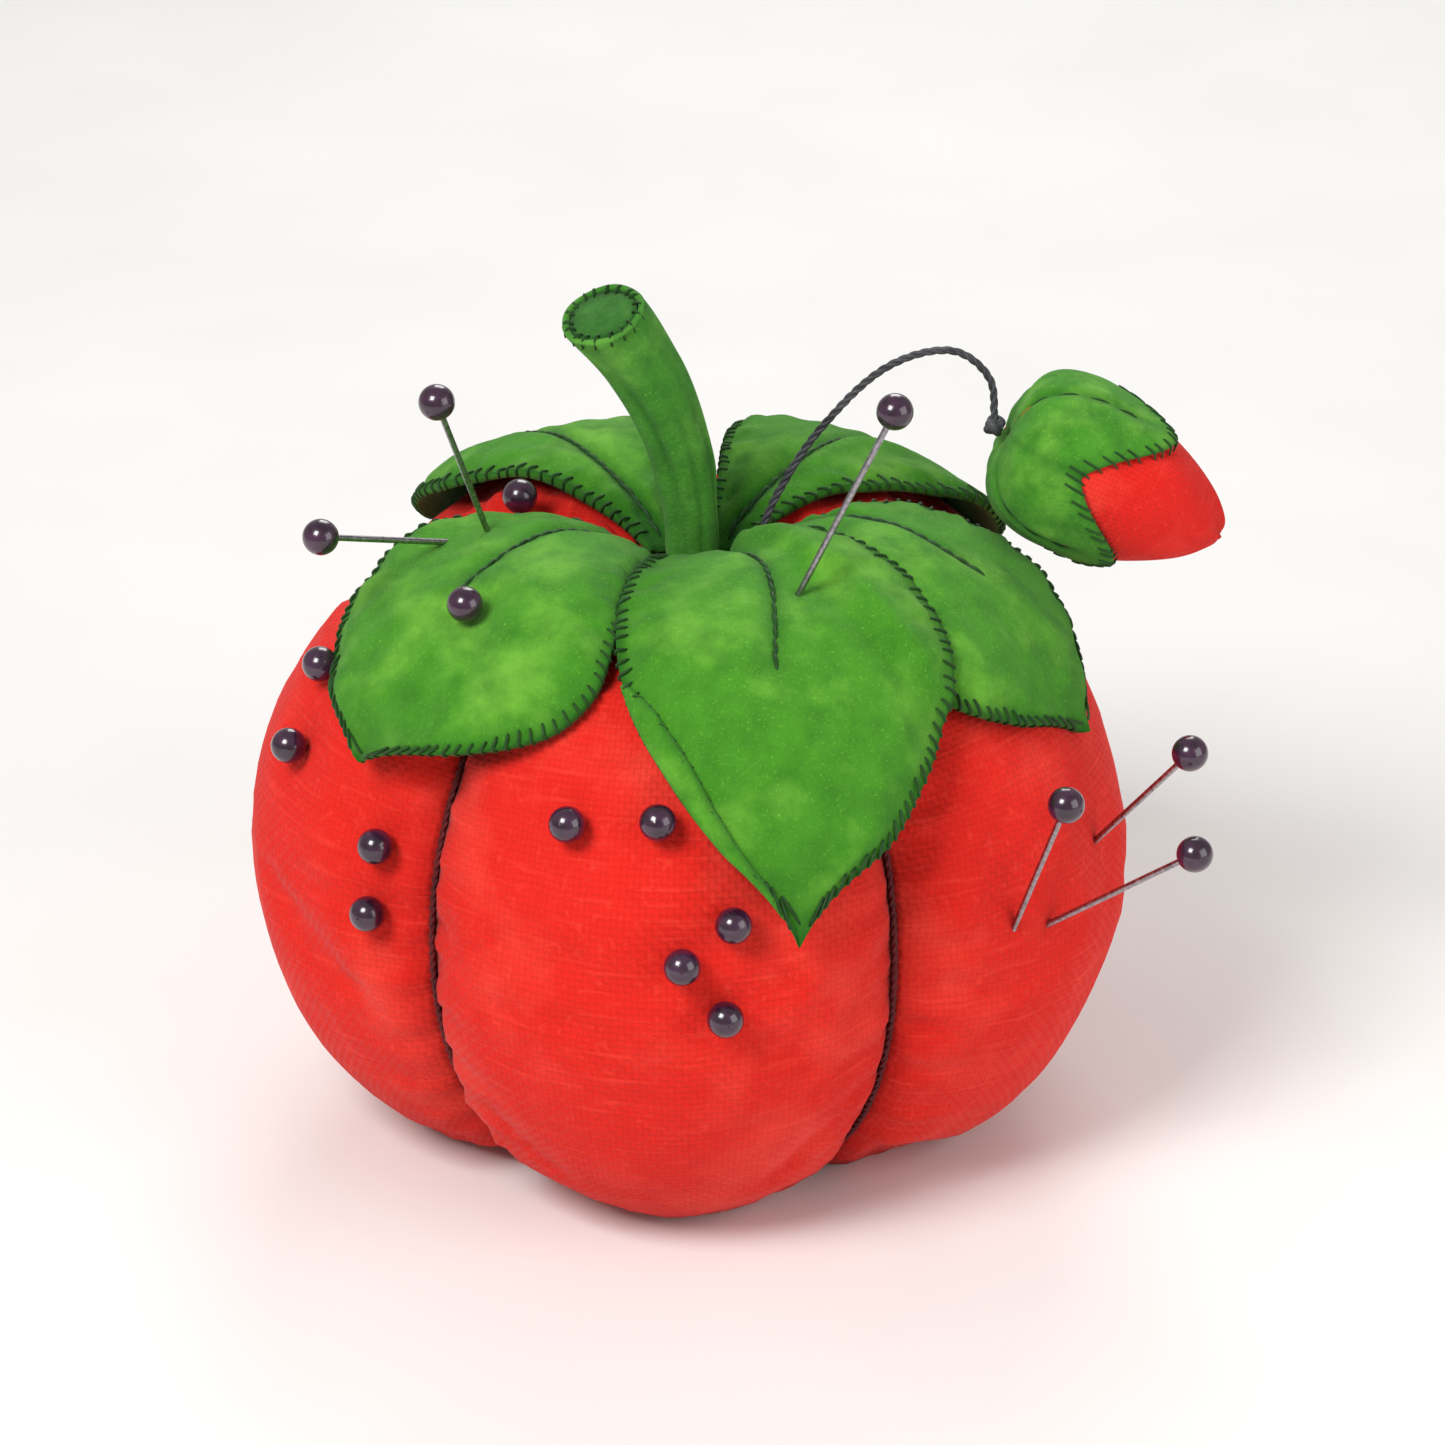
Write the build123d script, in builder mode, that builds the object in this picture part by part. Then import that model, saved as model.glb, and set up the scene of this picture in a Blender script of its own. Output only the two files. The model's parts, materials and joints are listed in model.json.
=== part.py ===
from build123d import *

import os
from math import acos, cos, degrees, hypot, radians, sin, sqrt, tan

# Tomato pin cushion, in mm. +Z is up and +X is to the right. The origin is the middle of the base,
# on the table. Azimuth is measured round the stem: 0 faces the front (-Y) and 90 faces +X.

# body: five puffed lobes, each an upright ellipsoid cut flat where it stands on the table
LOBE_AZIMUTHS = {"front": -5, "right": 67, "back_right": 139, "back_left": 211, "left": 283}
LOBE_RADIUS = 29.0
LOBE_HALF_HEIGHT = 37.0
LOBE_OFFSET = 21.0
LOBE_HEIGHT = 35.0
COVER_THICKNESS = 1.0
FILLING_GAP = 0.05
SEAM_GAP = 0.05
CROWN_RADIUS = 4.5
HALF_SECTOR = 180 / len(LOBE_AZIMUTHS)

# thread pulled round the body in the grooves, and down its middle
THREAD_RADIUS = 0.6
STRAND_RADIUS = 0.8
THREAD_LIFT = 0.3
THREAD_END_RADIUS = 1.4
KNOT_RADIUS = 1.4
TOP_KNOT_HEIGHT = 61.5
BOTTOM_KNOT_HEIGHT = 8.0
STRAND_BORE_RADIUS = 1.5
CROWN_BORE_FLOOR = 60.0

# felt disc under the gathered end of the cover
PATCH_RADIUS = 9.2
PATCH_THICKNESS = 1.2

# padded leaves: azimuth of the tip and how far the tip is from the stem
LEAVES = {
    "front": (13, 49.2),
    "right": (67, 46.0),
    "back_right": (141, 47.0),
    "back_left": (214, 46.0),
    "left": (310, 45.2),
}
LEAF_GAP = 0.05
LEAF_THICKNESS = 2.5
LEAF_ROOT_RADIUS = 5.2
LEAF_ROOT_HALF_WIDTH = 2.2
# half widths of a leaf at these shares of the way out to its tip: its side of lower azimuth,
# then its side of higher azimuth
LEAF_SHARES = [0.12, 0.25, 0.42, 0.56, 0.68, 0.80, 0.92]
LEAF_HALF_WIDTHS = {
    "front": ([3.6, 7.0, 12.0, 14.3, 14.6, 12.6, 7.6], [4.0, 10.2, 17.0, 19.6, 19.6, 17.4, 11.0]),
    "right": ([2.8, 6.0, 11.0, 15.0, 17.2, 16.8, 10.0], [2.3, 5.5, 10.4, 13.6, 15.0, 13.6, 8.2]),
    "back_right": ([2.6, 6.1, 11.1, 14.8, 16.6, 15.2, 9.2], [2.4, 5.6, 11.1, 14.8, 16.6, 15.2, 9.2]),
    "back_left": ([2.3, 5.0, 9.6, 13.2, 14.8, 13.6, 8.2], [2.8, 5.6, 9.9, 13.2, 14.8, 13.6, 8.2]),
    "left": ([3.8, 9.0, 14.8, 18.0, 18.4, 16.3, 9.8], [3.2, 7.2, 13.0, 18.0, 20.6, 18.6, 11.0]),
}
# the front leaf lies over its neighbours, which stop this far short of it
LEAF_SPACING = 0.3

# stem: a stuffed tube that leans left and forward and flares to its cut end
STEM_PIVOT_HEIGHT = 66.0
STEM_RISE = 32.8
STEM_LEAN_LEFT = 9.5
STEM_LEAN_FORWARD = 6.0
STEM_CURL = 2.5
STEM_TILT_LEFT = 0.32
STEM_TILT_FORWARD = 0.38
STEM_SECTIONS = [(0.0, 2.75), (0.2, 2.9), (0.4, 3.2), (0.6, 3.5), (0.8, 4.0), (1.0, 4.6)]
STEM_WALL = 0.8
STEM_FLOOR_SHARE = 0.06
STEM_CAP_SHARE = 0.965

# cord from the crown to the emery strawberry
CORD_RADIUS = 0.45
ANCHOR_KNOT = (7.3, 1.7, 68.4)
ANCHOR_KNOT_RADIUS = 0.9
END_KNOT_RADIUS = 1.1
KNOT_GAP = 0.1
CORD_BENDS = [(9.8, 1.8, 74.8), (14.5, 2.0, 82.4), (21.5, 2.4, 89.4), (28.8, 2.9, 91.4), (33.3, 3.2, 88.0)]

# emery strawberry, hanging over the right-hand leaf with its tip down and out
BERRY_TOP = (35.8, 3.2, 81.3)
BERRY_DIP = 27
BERRY_AZIMUTH = 90
BERRY_LENGTH = 27.0
BERRY_PROFILE = [(4.2, -0.2), (7.4, -2.0), (9.0, -6.2), (8.9, -11.5), (7.6, -17.5), (4.7, -23.0), (2.0, -26.2)]
BERRY_WALL = 0.7
CALYX_THICKNESS = 0.9
CALYX_REACH = 16.0
SEPALS = 3
SEPAL_NOTCH = 7.5
SEPAL_GAP = 8.4
SEPAL_TURN = 12

# ball-headed pins
HEAD_RADIUS = 2.0
SHANK_RADIUS = 0.35
PIN_LENGTH = 38.0
POINT_LENGTH = 2.5
POINT_RADIUS = 0.05
PIN_SOCKET_DEPTH = 1.6
SOCKET_CLEARANCE = 0.01
BORE_CLEARANCE = 0.05
BORE_LENGTH = 38.6
BORE_LEAD = 5.0

# One row per pin: the piece it enters, the azimuth it enters at, its height there (its distance
# from the stem where it enters a leaf or the crown), the azimuth and the rise its head points to,
# and how far the head stands off.
PINS = [
    ("leaf_left", -71, 24, -33, 64, 20.0),
    ("crown_left", -106, 20, 210, 80, 3.0),
    ("leaf_left", -72, 29, -47, 18, 18.0),
    ("leaf_left", -44, 34, -44, 60, 2.1),
    ("gore", -70, 60, -64, 35, 2.1),
    ("gore", -68, 52, -59, 21, 2.1),
    ("gore", -49, 46, -27, 13, 2.1),
    ("gore", -49, 38.5, -29, 4, 2.1),
    ("gore", -16, 55, -22, 25, 2.1),
    ("gore", -4, 56, -7, 29, 2.1),
    ("gore", 5, 46, 14, 13, 2.1),
    ("gore", -1, 42, 2, 8, 2.1),
    ("gore", 4, 36, 10, 1, 2.1),
    ("gore", 48, 37.5, 25, 61, 22.0),
    ("gore", 66, 42, 44, 49, 20.0),
    ("gore", 54, 36, 57, 37, 22.0),
    ("leaf_front", 26, 27, 80, 65, 24.0),
]


def at(azimuth, radius, height):
    """Point at an azimuth, a distance from the stem and a height."""
    return (radius * sin(radians(azimuth)), -radius * cos(radians(azimuth)), height)


def outward_plane(azimuth, radius=0.0, height=0.0):
    """Upright plane through the stem's axis: local X points out and local Y points up."""
    across = (-cos(radians(azimuth)), -sin(radians(azimuth)), 0)
    return Plane(origin=at(azimuth, radius, height), x_dir=at(azimuth, 1, 0), z_dir=across)


def level_plane(azimuth, height=0.0):
    """Level plane on the stem's axis: local X points out at the azimuth."""
    return Plane(origin=(0, 0, height), x_dir=at(azimuth, 1, 0), z_dir=(0, 0, 1))


def turn_between(azimuth_a, azimuth_b):
    """Smallest angle between two azimuths."""
    return abs((azimuth_a - azimuth_b + 180) % 360 - 180)


def lobe_radius(azimuth, height):
    """Distance from the stem's axis to the cover."""
    half_width = LOBE_RADIUS * sqrt(1 - ((height - LOBE_HEIGHT) / LOBE_HALF_HEIGHT) ** 2)
    turn = radians(min(turn_between(azimuth, lobe) for lobe in LOBE_AZIMUTHS.values()))
    return LOBE_OFFSET * cos(turn) + sqrt(half_width**2 - (LOBE_OFFSET * sin(turn)) ** 2)


def crown_height(azimuth, radius):
    """Height of the top of the cover."""
    turn = radians(min(turn_between(azimuth, lobe) for lobe in LOBE_AZIMUTHS.values()))
    away = hypot(radius - LOBE_OFFSET * cos(turn), LOBE_OFFSET * sin(turn))
    return LOBE_HEIGHT + LOBE_HALF_HEIGHT * sqrt(1 - (away / LOBE_RADIUS) ** 2)


def leaf_height(radius):
    """Height of a leaf's upper face."""
    thickness = LEAF_GAP + LEAF_THICKNESS
    share = (radius - LOBE_OFFSET) / (LOBE_RADIUS + thickness)
    return LOBE_HEIGHT + (LOBE_HALF_HEIGHT + thickness) * sqrt(1 - share**2)


def pin_plane(pin, away=0.0):
    """Plane across a pin: local Z points from the cushion to the head, from where the pin enters."""
    piece, azimuth, place, heading, rise, stand_off = pin
    if piece.startswith("leaf"):
        entry = at(azimuth, place, leaf_height(place))
    elif piece.startswith("crown"):
        entry = at(azimuth, place, crown_height(azimuth, place))
    else:
        entry = at(azimuth, lobe_radius(azimuth, place), place)
    level = cos(radians(rise))
    direction = at(heading, level, sin(radians(rise)))
    origin = tuple(e + away * d for e, d in zip(entry, direction))
    return Plane(origin=origin, z_dir=direction)


def cut_pin_bores(pins):
    """Narrow bores along the pins, cut from the part being built."""
    for pin in pins:
        with Locations(pin_plane(pin, away=BORE_LEAD)):
            Cylinder(
                SHANK_RADIUS + BORE_CLEARANCE,
                BORE_LENGTH + BORE_LEAD,
                align=(Align.CENTER, Align.CENTER, Align.MAX),
                mode=Mode.SUBTRACT,
            )


def save(part, name):
    part.label = name
    export_step(part, "parts/" + name + ".step")


def make_lobe(azimuth, shrink):
    """A lobe, drawn in on all sides and cut flat at the bottom."""
    floor = shrink - LOBE_HEIGHT
    top = LOBE_HALF_HEIGHT - shrink
    with BuildPart() as lobe:
        with BuildSketch(outward_plane(azimuth, LOBE_OFFSET, LOBE_HEIGHT)):
            Ellipse(LOBE_RADIUS - shrink, top)
            with Locations((-LOBE_RADIUS / 2, (top + floor) / 2)):
                Rectangle(LOBE_RADIUS, top - floor, mode=Mode.INTERSECT)
        revolve(axis=Axis(at(azimuth, LOBE_OFFSET, LOBE_HEIGHT), (0, 0, 1)))
    return lobe.part


def make_gore(azimuth):
    """One gore of the cover: a lobe's skin between the two seams beside it."""
    reach = LOBE_OFFSET + LOBE_RADIUS + 10
    corner = (reach, (reach - SEAM_GAP) * tan(radians(HALF_SECTOR)))
    with BuildPart() as gore:
        with BuildSketch(level_plane(azimuth)):
            with BuildLine():
                Polyline((SEAM_GAP, 0), corner, (corner[0], -corner[1]), close=True)
            make_face()
            Circle(CROWN_RADIUS, mode=Mode.SUBTRACT)
        extrude(amount=LOBE_HEIGHT + LOBE_HALF_HEIGHT + 1)
        add(make_lobe(azimuth, 0), mode=Mode.INTERSECT)
        add(make_lobe(azimuth, COVER_THICKNESS), mode=Mode.SUBTRACT)
        cut_pin_bores([pin for pin in PINS if turn_between(pin[1], azimuth) < HALF_SECTOR + 3])
    return gore.part


def make_filling():
    """Stuffing that fills the cover, with bores for the tie strand and the pins."""
    with BuildPart() as filling:
        for azimuth in LOBE_AZIMUTHS.values():
            add(make_lobe(azimuth, COVER_THICKNESS + FILLING_GAP))
        with BuildSketch(Plane.XY):
            Circle(STRAND_BORE_RADIUS)
        extrude(amount=LOBE_HEIGHT * 2, mode=Mode.SUBTRACT)
        with BuildSketch(Plane.XY.offset(CROWN_BORE_FLOOR)):
            Circle(CROWN_RADIUS)
        extrude(amount=LOBE_HALF_HEIGHT, mode=Mode.SUBTRACT)
        cut_pin_bores(PINS)
    return filling.part


def make_groove_threads():
    """Threads pulled tight in the grooves between the lobes."""
    half_turn = radians(HALF_SECTOR)
    middle = LOBE_OFFSET * cos(half_turn)
    across = sqrt(LOBE_RADIUS**2 - (LOBE_OFFSET * sin(half_turn)) ** 2)
    up = LOBE_HALF_HEIGHT * across / LOBE_RADIUS + THREAD_LIFT
    across = across + THREAD_LIFT
    turn = degrees(acos((middle - THREAD_END_RADIUS) / across))
    with BuildPart() as threads:
        for azimuth in LOBE_AZIMUTHS.values():
            with BuildLine(outward_plane(azimuth + HALF_SECTOR, 0, LOBE_HEIGHT)):
                loop = EllipticalCenterArc(
                    (middle, 0), across, up, start_angle=180 + turn, arc_size=360 - 2 * turn
                )
            with BuildSketch(Plane(origin=loop @ 0, z_dir=loop % 0)):
                Circle(THREAD_RADIUS)
            sweep(path=loop)
    return threads.part


def make_tie_strand():
    """Strand through the middle of the body, with the knots that hold the groove threads."""
    with BuildPart() as strand:
        with BuildSketch(Plane.XY.offset(BOTTOM_KNOT_HEIGHT)):
            Circle(STRAND_RADIUS)
        extrude(amount=TOP_KNOT_HEIGHT - BOTTOM_KNOT_HEIGHT)
        with Locations((0, 0, BOTTOM_KNOT_HEIGHT), (0, 0, TOP_KNOT_HEIGHT)):
            Sphere(KNOT_RADIUS)
    return strand.part


def leaf_outline(name, grow=0.0):
    """A leaf's outline seen from above, drawn below the leaf and grown sideways."""
    azimuth, tip = LEAVES[name]
    with BuildSketch(level_plane(azimuth, LOBE_HEIGHT)) as outline:
        with BuildLine():
            roots = []
            for sign, half_widths in zip((-1, 1), LEAF_HALF_WIDTHS[name]):
                root = (LEAF_ROOT_RADIUS, sign * (LEAF_ROOT_HALF_WIDTH + grow))
                edge = [(share * tip, sign * (width + grow)) for share, width in zip(LEAF_SHARES, half_widths)]
                Spline(root, *edge, (tip, 0))
                roots.append(root)
            Line(*roots)
        make_face()
    return outline.sketch


def make_leaf(name):
    """One padded leaf, shaped to lie on the lobes."""
    top = LOBE_HALF_HEIGHT + LEAF_GAP + LEAF_THICKNESS
    out = LOBE_RADIUS + LEAF_GAP + LEAF_THICKNESS
    with BuildPart() as leaf:
        with BuildSketch(Plane.XZ):
            with Locations((LOBE_OFFSET, LOBE_HEIGHT)):
                Ellipse(out, top)
                Ellipse(LOBE_RADIUS + LEAF_GAP, LOBE_HALF_HEIGHT + LEAF_GAP, mode=Mode.SUBTRACT)
            with Locations((LEAF_ROOT_RADIUS, LOBE_HEIGHT)):
                Rectangle(60, 60, align=Align.MIN, mode=Mode.INTERSECT)
        revolve(axis=Axis.Z)
        extrude(leaf_outline(name), amount=60, mode=Mode.INTERSECT)
        if name in ("left", "right"):
            extrude(leaf_outline("front", LEAF_SPACING), amount=60, mode=Mode.SUBTRACT)
        cut_pin_bores([pin for pin in PINS if pin[0] == "leaf_" + name])
    return leaf.part


def stem_point(share):
    """Point on the stem's middle line, a share of the way up."""
    left = -STEM_LEAN_LEFT * share**STEM_CURL
    forward = -STEM_LEAN_FORWARD * share**2
    return (left, forward, STEM_PIVOT_HEIGHT + STEM_RISE * share)


def stem_plane(share):
    """Plane across the stem; the cut end faces up and forward."""
    tilt = (-STEM_TILT_LEFT * share, -STEM_TILT_FORWARD * share, 1)
    return Plane(origin=stem_point(share), x_dir=(1, 0, STEM_TILT_LEFT * share), z_dir=tilt)


def stem_girth(share):
    """Radius of the stem's sleeve, a share of the way up."""
    for (low, low_radius), (high, high_radius) in zip(STEM_SECTIONS, STEM_SECTIONS[1:]):
        if share <= high:
            return low_radius + (high_radius - low_radius) * (share - low) / (high - low)


def loft_stem(shares, shrink):
    """Solid lofted through the stem's sections."""
    with BuildPart() as solid:
        for share in shares:
            with BuildSketch(stem_plane(share)):
                Circle(stem_girth(share) - shrink)
        loft()
    return solid.part


def make_stem():
    """The stem's sleeve, its stuffing and the disc that closes its cut end."""
    shares = [share for share, radius in STEM_SECTIONS]
    floor = STEM_FLOOR_SHARE
    cap_start = STEM_CAP_SHARE
    inside = STEM_WALL + FILLING_GAP
    with BuildPart() as sleeve:
        add(loft_stem(shares, 0))
        with Locations(stem_point(0)):
            Sphere(stem_girth(0))
        add(loft_stem([floor] + shares[1:], STEM_WALL), mode=Mode.SUBTRACT)
    with BuildPart() as core:
        add(loft_stem([floor + 0.005] + shares[1:-1] + [cap_start - 0.003], inside))
    with BuildPart() as cap:
        add(loft_stem([cap_start, 1.0], inside))
    return sleeve.part, core.part, cap.part


BERRY_AXIS = Vector(*at(BERRY_AZIMUTH, -cos(radians(BERRY_DIP)), sin(radians(BERRY_DIP))))
END_KNOT = Vector(*BERRY_TOP) + BERRY_AXIS * (END_KNOT_RADIUS + CALYX_THICKNESS)


def berry_side(turn):
    """Direction square to the strawberry's axis."""
    level = Vector(*at(BERRY_AZIMUTH + 90, 1, 0))
    return level.rotate(Axis((0, 0, 0), BERRY_AXIS), turn)


def berry_plane(turn=0.0):
    """Plane along the strawberry: local Y points from its tip to its top, X out of its side."""
    side = berry_side(turn)
    return Plane(origin=BERRY_TOP, x_dir=side, z_dir=side.cross(BERRY_AXIS))


def make_berry(grow):
    """The strawberry's shape, offset outward."""
    profile = [(x + grow * 0.95, y + grow * 0.3) for x, y in BERRY_PROFILE[:3]]
    profile = profile + [(x + grow, y) for x, y in BERRY_PROFILE[3:]]
    with BuildPart() as berry:
        with BuildSketch(berry_plane()):
            with BuildLine():
                side = Spline((0, grow), *profile, (0, -BERRY_LENGTH - grow))
                Line(side @ 1, side @ 0)
            make_face()
        revolve(axis=Axis(BERRY_TOP, BERRY_AXIS))
    return berry.part


def make_strawberry():
    """The strawberry's bag, the emery in it and its calyx."""
    with BuildPart() as bag:
        add(make_berry(0))
        add(make_berry(-BERRY_WALL), mode=Mode.SUBTRACT)
    with BuildPart() as emery:
        add(make_berry(-BERRY_WALL - FILLING_GAP))
    with BuildPart() as calyx:
        with BuildSketch(Plane(origin=Vector(*BERRY_TOP) + BERRY_AXIS * 5, z_dir=-BERRY_AXIS)):
            Circle(BERRY_LENGTH)
        extrude(amount=CALYX_REACH + 5)
        add(make_berry(CALYX_THICKNESS), mode=Mode.INTERSECT)
        add(make_berry(FILLING_GAP), mode=Mode.SUBTRACT)
        for index in range(SEPALS):
            side = berry_side(360 * (index + 0.5) / SEPALS + SEPAL_TURN)
            with BuildSketch(Plane(origin=BERRY_TOP, x_dir=BERRY_AXIS.cross(side), z_dir=side)):
                corner = (SEPAL_GAP, -CALYX_REACH - 1)
                with BuildLine():
                    Polyline((0, -SEPAL_NOTCH), corner, (-corner[0], corner[1]), close=True)
                make_face()
            extrude(amount=BERRY_LENGTH, mode=Mode.SUBTRACT)
    return bag.part, emery.part, calyx.part


def make_cord():
    """The cord between its two knots, and the knots."""
    start = Vector(*ANCHOR_KNOT) + Vector(0, 0, ANCHOR_KNOT_RADIUS + KNOT_GAP)
    arrive = (END_KNOT - Vector(*CORD_BENDS[-1])).normalized()
    end = END_KNOT - arrive * (END_KNOT_RADIUS + KNOT_GAP)
    with BuildPart() as cord:
        with BuildLine() as path:
            Spline(start, *CORD_BENDS, end, tangents=((0, 0, 1), arrive))
        with BuildSketch(Plane(origin=start, z_dir=(0, 0, 1))):
            Circle(CORD_RADIUS)
        sweep(path=path.wires()[0])
    with BuildPart() as anchor:
        with Locations(ANCHOR_KNOT):
            Sphere(ANCHOR_KNOT_RADIUS)
    with BuildPart() as end_knot:
        with Locations(END_KNOT):
            Sphere(END_KNOT_RADIUS)
    return cord.part, anchor.part, end_knot.part


def make_pin(pin):
    """A pin's ball head, with the socket for its shank, and the pointed shank."""
    head_plane = pin_plane(pin, away=pin[5])
    with BuildPart() as head:
        with Locations(head_plane):
            Sphere(HEAD_RADIUS)
        with Locations(head_plane.offset(PIN_SOCKET_DEPTH - HEAD_RADIUS)):
            Cylinder(
                SHANK_RADIUS + SOCKET_CLEARANCE,
                HEAD_RADIUS,
                align=(Align.CENTER, Align.CENTER, Align.MAX),
                mode=Mode.SUBTRACT,
            )
    shank_top = PIN_SOCKET_DEPTH - HEAD_RADIUS - SOCKET_CLEARANCE
    straight = PIN_LENGTH + shank_top - POINT_LENGTH
    with BuildPart() as shank:
        with Locations(head_plane.offset(shank_top)):
            Cylinder(SHANK_RADIUS, straight, align=(Align.CENTER, Align.CENTER, Align.MAX))
        with Locations(head_plane.offset(-PIN_LENGTH)):
            Cone(
                POINT_RADIUS,
                SHANK_RADIUS,
                POINT_LENGTH,
                align=(Align.CENTER, Align.CENTER, Align.MIN),
            )
    return head.part, shank.part


def make_patch():
    """The felt disc under the body."""
    with BuildPart() as patch:
        with BuildSketch(Plane.XY):
            Circle(PATCH_RADIUS)
        extrude(amount=PATCH_THICKNESS)
    return patch.part


os.makedirs("parts", exist_ok=True)

save(make_patch(), "base_patch")
save(make_filling(), "filling")
save(make_groove_threads(), "groove_threads")
save(make_tie_strand(), "tie_strand")
for gore_name, gore_azimuth in LOBE_AZIMUTHS.items():
    save(make_gore(gore_azimuth), "cover_gore_" + gore_name)
for leaf_name in LEAVES:
    save(make_leaf(leaf_name), "leaf_" + leaf_name)
for stem_name, stem_piece in zip(("stem_sleeve", "stem_core", "stem_end_cap"), make_stem()):
    save(stem_piece, stem_name)
strawberry_names = ("strawberry_bag", "emery_filling", "strawberry_calyx")
for berry_name, berry_piece in zip(strawberry_names, make_strawberry()):
    save(berry_piece, berry_name)
for cord_name, cord_piece in zip(("emery_cord", "cord_anchor_knot", "cord_end_knot"), make_cord()):
    save(cord_piece, cord_name)
for pin_number, pin_row in enumerate(PINS, start=1):
    pin_name = f"pin_{pin_number:02d}"
    for piece_name, pin_piece in zip(("_head", "_shank"), make_pin(pin_row)):
        save(pin_piece, pin_name + piece_name)
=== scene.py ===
import json
import random
from math import acos, atan2, copysign, cos, degrees, exp, pi, radians, sin, sqrt

import bpy
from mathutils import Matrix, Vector


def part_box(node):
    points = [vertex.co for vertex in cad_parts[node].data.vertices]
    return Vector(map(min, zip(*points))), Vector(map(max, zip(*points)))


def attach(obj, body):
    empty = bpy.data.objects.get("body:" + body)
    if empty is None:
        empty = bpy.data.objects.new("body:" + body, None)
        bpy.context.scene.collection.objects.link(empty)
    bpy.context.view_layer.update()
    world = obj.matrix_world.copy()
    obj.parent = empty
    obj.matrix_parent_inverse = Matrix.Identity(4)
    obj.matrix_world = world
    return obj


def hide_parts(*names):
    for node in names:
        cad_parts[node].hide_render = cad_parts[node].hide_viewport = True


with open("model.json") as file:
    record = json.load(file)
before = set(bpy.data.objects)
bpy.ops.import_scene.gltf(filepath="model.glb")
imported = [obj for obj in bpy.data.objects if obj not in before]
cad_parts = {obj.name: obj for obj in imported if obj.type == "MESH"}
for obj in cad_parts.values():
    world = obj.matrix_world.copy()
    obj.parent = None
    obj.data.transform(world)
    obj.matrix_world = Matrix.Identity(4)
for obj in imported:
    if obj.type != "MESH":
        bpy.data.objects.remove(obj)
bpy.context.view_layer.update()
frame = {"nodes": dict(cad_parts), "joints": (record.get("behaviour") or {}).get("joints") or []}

# Places and sizes are in mm, and Build turns them into metres.
MM = 0.001
UP = Vector((0, 0, 1))
rng = random.Random(7)

# ---- the CAD model's own dimensions, mm
LOBE_AZIMUTHS = {"front": -5, "right": 67, "back_right": 139, "back_left": 211, "left": 283}
LOBES = list(LOBE_AZIMUTHS)
LOBE_RADIUS = 29.0
LOBE_HALF_HEIGHT = 37.0
LOBE_OFFSET = 21.0
LOBE_HEIGHT = 35.0
HALF_SECTOR = 36.0
# Azimuth and length of each leaf, then its half widths at shares of its length, one list a side.
LEAVES = {
    "front": (13, 49.2),
    "right": (67, 46.0),
    "back_right": (141, 47.0),
    "back_left": (214, 46.0),
    "left": (310, 45.2),
}
LEAF_TOP = 2.5
LEAF_SHARES = [0.12, 0.25, 0.42, 0.56, 0.68, 0.80, 0.92]
LEAF_HALF_WIDTHS = {
    "front": ([3.6, 7.0, 12.0, 14.3, 14.6, 12.6, 7.6], [4.0, 10.2, 17.0, 19.6, 19.6, 17.4, 11.0]),
    "right": ([2.8, 6.0, 11.0, 15.0, 17.2, 16.8, 10.0], [2.3, 5.5, 10.4, 13.6, 15.0, 13.6, 8.2]),
    "back_right": ([2.6, 6.1, 11.1, 14.8, 16.6, 15.2, 9.2], [2.4, 5.6, 11.1, 14.8, 16.6, 15.2, 9.2]),
    "back_left": ([2.3, 5.0, 9.6, 13.2, 14.8, 13.6, 8.2], [2.8, 5.6, 9.9, 13.2, 14.8, 13.6, 8.2]),
    "left": ([3.8, 9.0, 14.8, 18.0, 18.4, 16.3, 9.8], [3.2, 7.2, 13.0, 18.0, 20.6, 18.6, 11.0]),
}


# ---- small helpers
def at(azimuth, radius, height=0.0):
    a = radians(azimuth)
    return Vector((radius * sin(a), -radius * cos(a), height))


def smooth(x):
    x = max(0.0, min(1.0, x))
    return x * x * (3 - 2 * x)


def bell(x):
    return exp(-x * x)


def circle(count):
    return [2 * pi * k / count for k in range(count)]


def turned_ray(u, v, angle):
    return u * cos(angle) + v * sin(angle)


def lengths_along(points):
    """Distance run along a path at each of its points."""
    runs = [0.0]
    for a, b in zip(points, points[1:]):
        runs.append(runs[-1] + (b - a).length)
    return runs


def catmull(points, samples):
    """Points along a smooth curve through the given ones, evenly spaced by length."""
    p = [Vector(q) for q in points]
    p = [2 * p[0] - p[1]] + p + [2 * p[-1] - p[-2]]
    dense = []
    for k in range(1, len(p) - 2):
        a, b, c, d = p[k - 1 : k + 3]
        for i in range(24):
            t = i / 24
            curve = (2 * a - 5 * b + 4 * c - d) * t * t + (3 * b - a - 3 * c + d) * t**3
            dense.append(0.5 * (2 * b + (c - a) * t + curve))
    dense.append(p[-2].copy())
    lengths = lengths_along(dense)
    out = []
    k = 0
    for i in range(samples):
        want = lengths[-1] * i / (samples - 1)
        while k < len(lengths) - 2 and lengths[k + 1] < want:
            k += 1
        span = max(lengths[k + 1] - lengths[k], 1e-9)
        out.append(dense[k].lerp(dense[k + 1], (want - lengths[k]) / span))
    return out


def frames(points):
    """Two directions square to a path at each of its points, carried along without twist."""
    last = len(points) - 1
    tangents = [(points[min(i + 1, last)] - points[max(i - 1, 0)]).normalized() for i in range(last + 1)]
    side = tangents[0].orthogonal().normalized()
    sides = []
    for t in tangents:
        side = (side - t * side.dot(t)).normalized()
        sides.append(side.copy())
    return sides, [t.cross(s) for t, s in zip(tangents, sides)]


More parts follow.
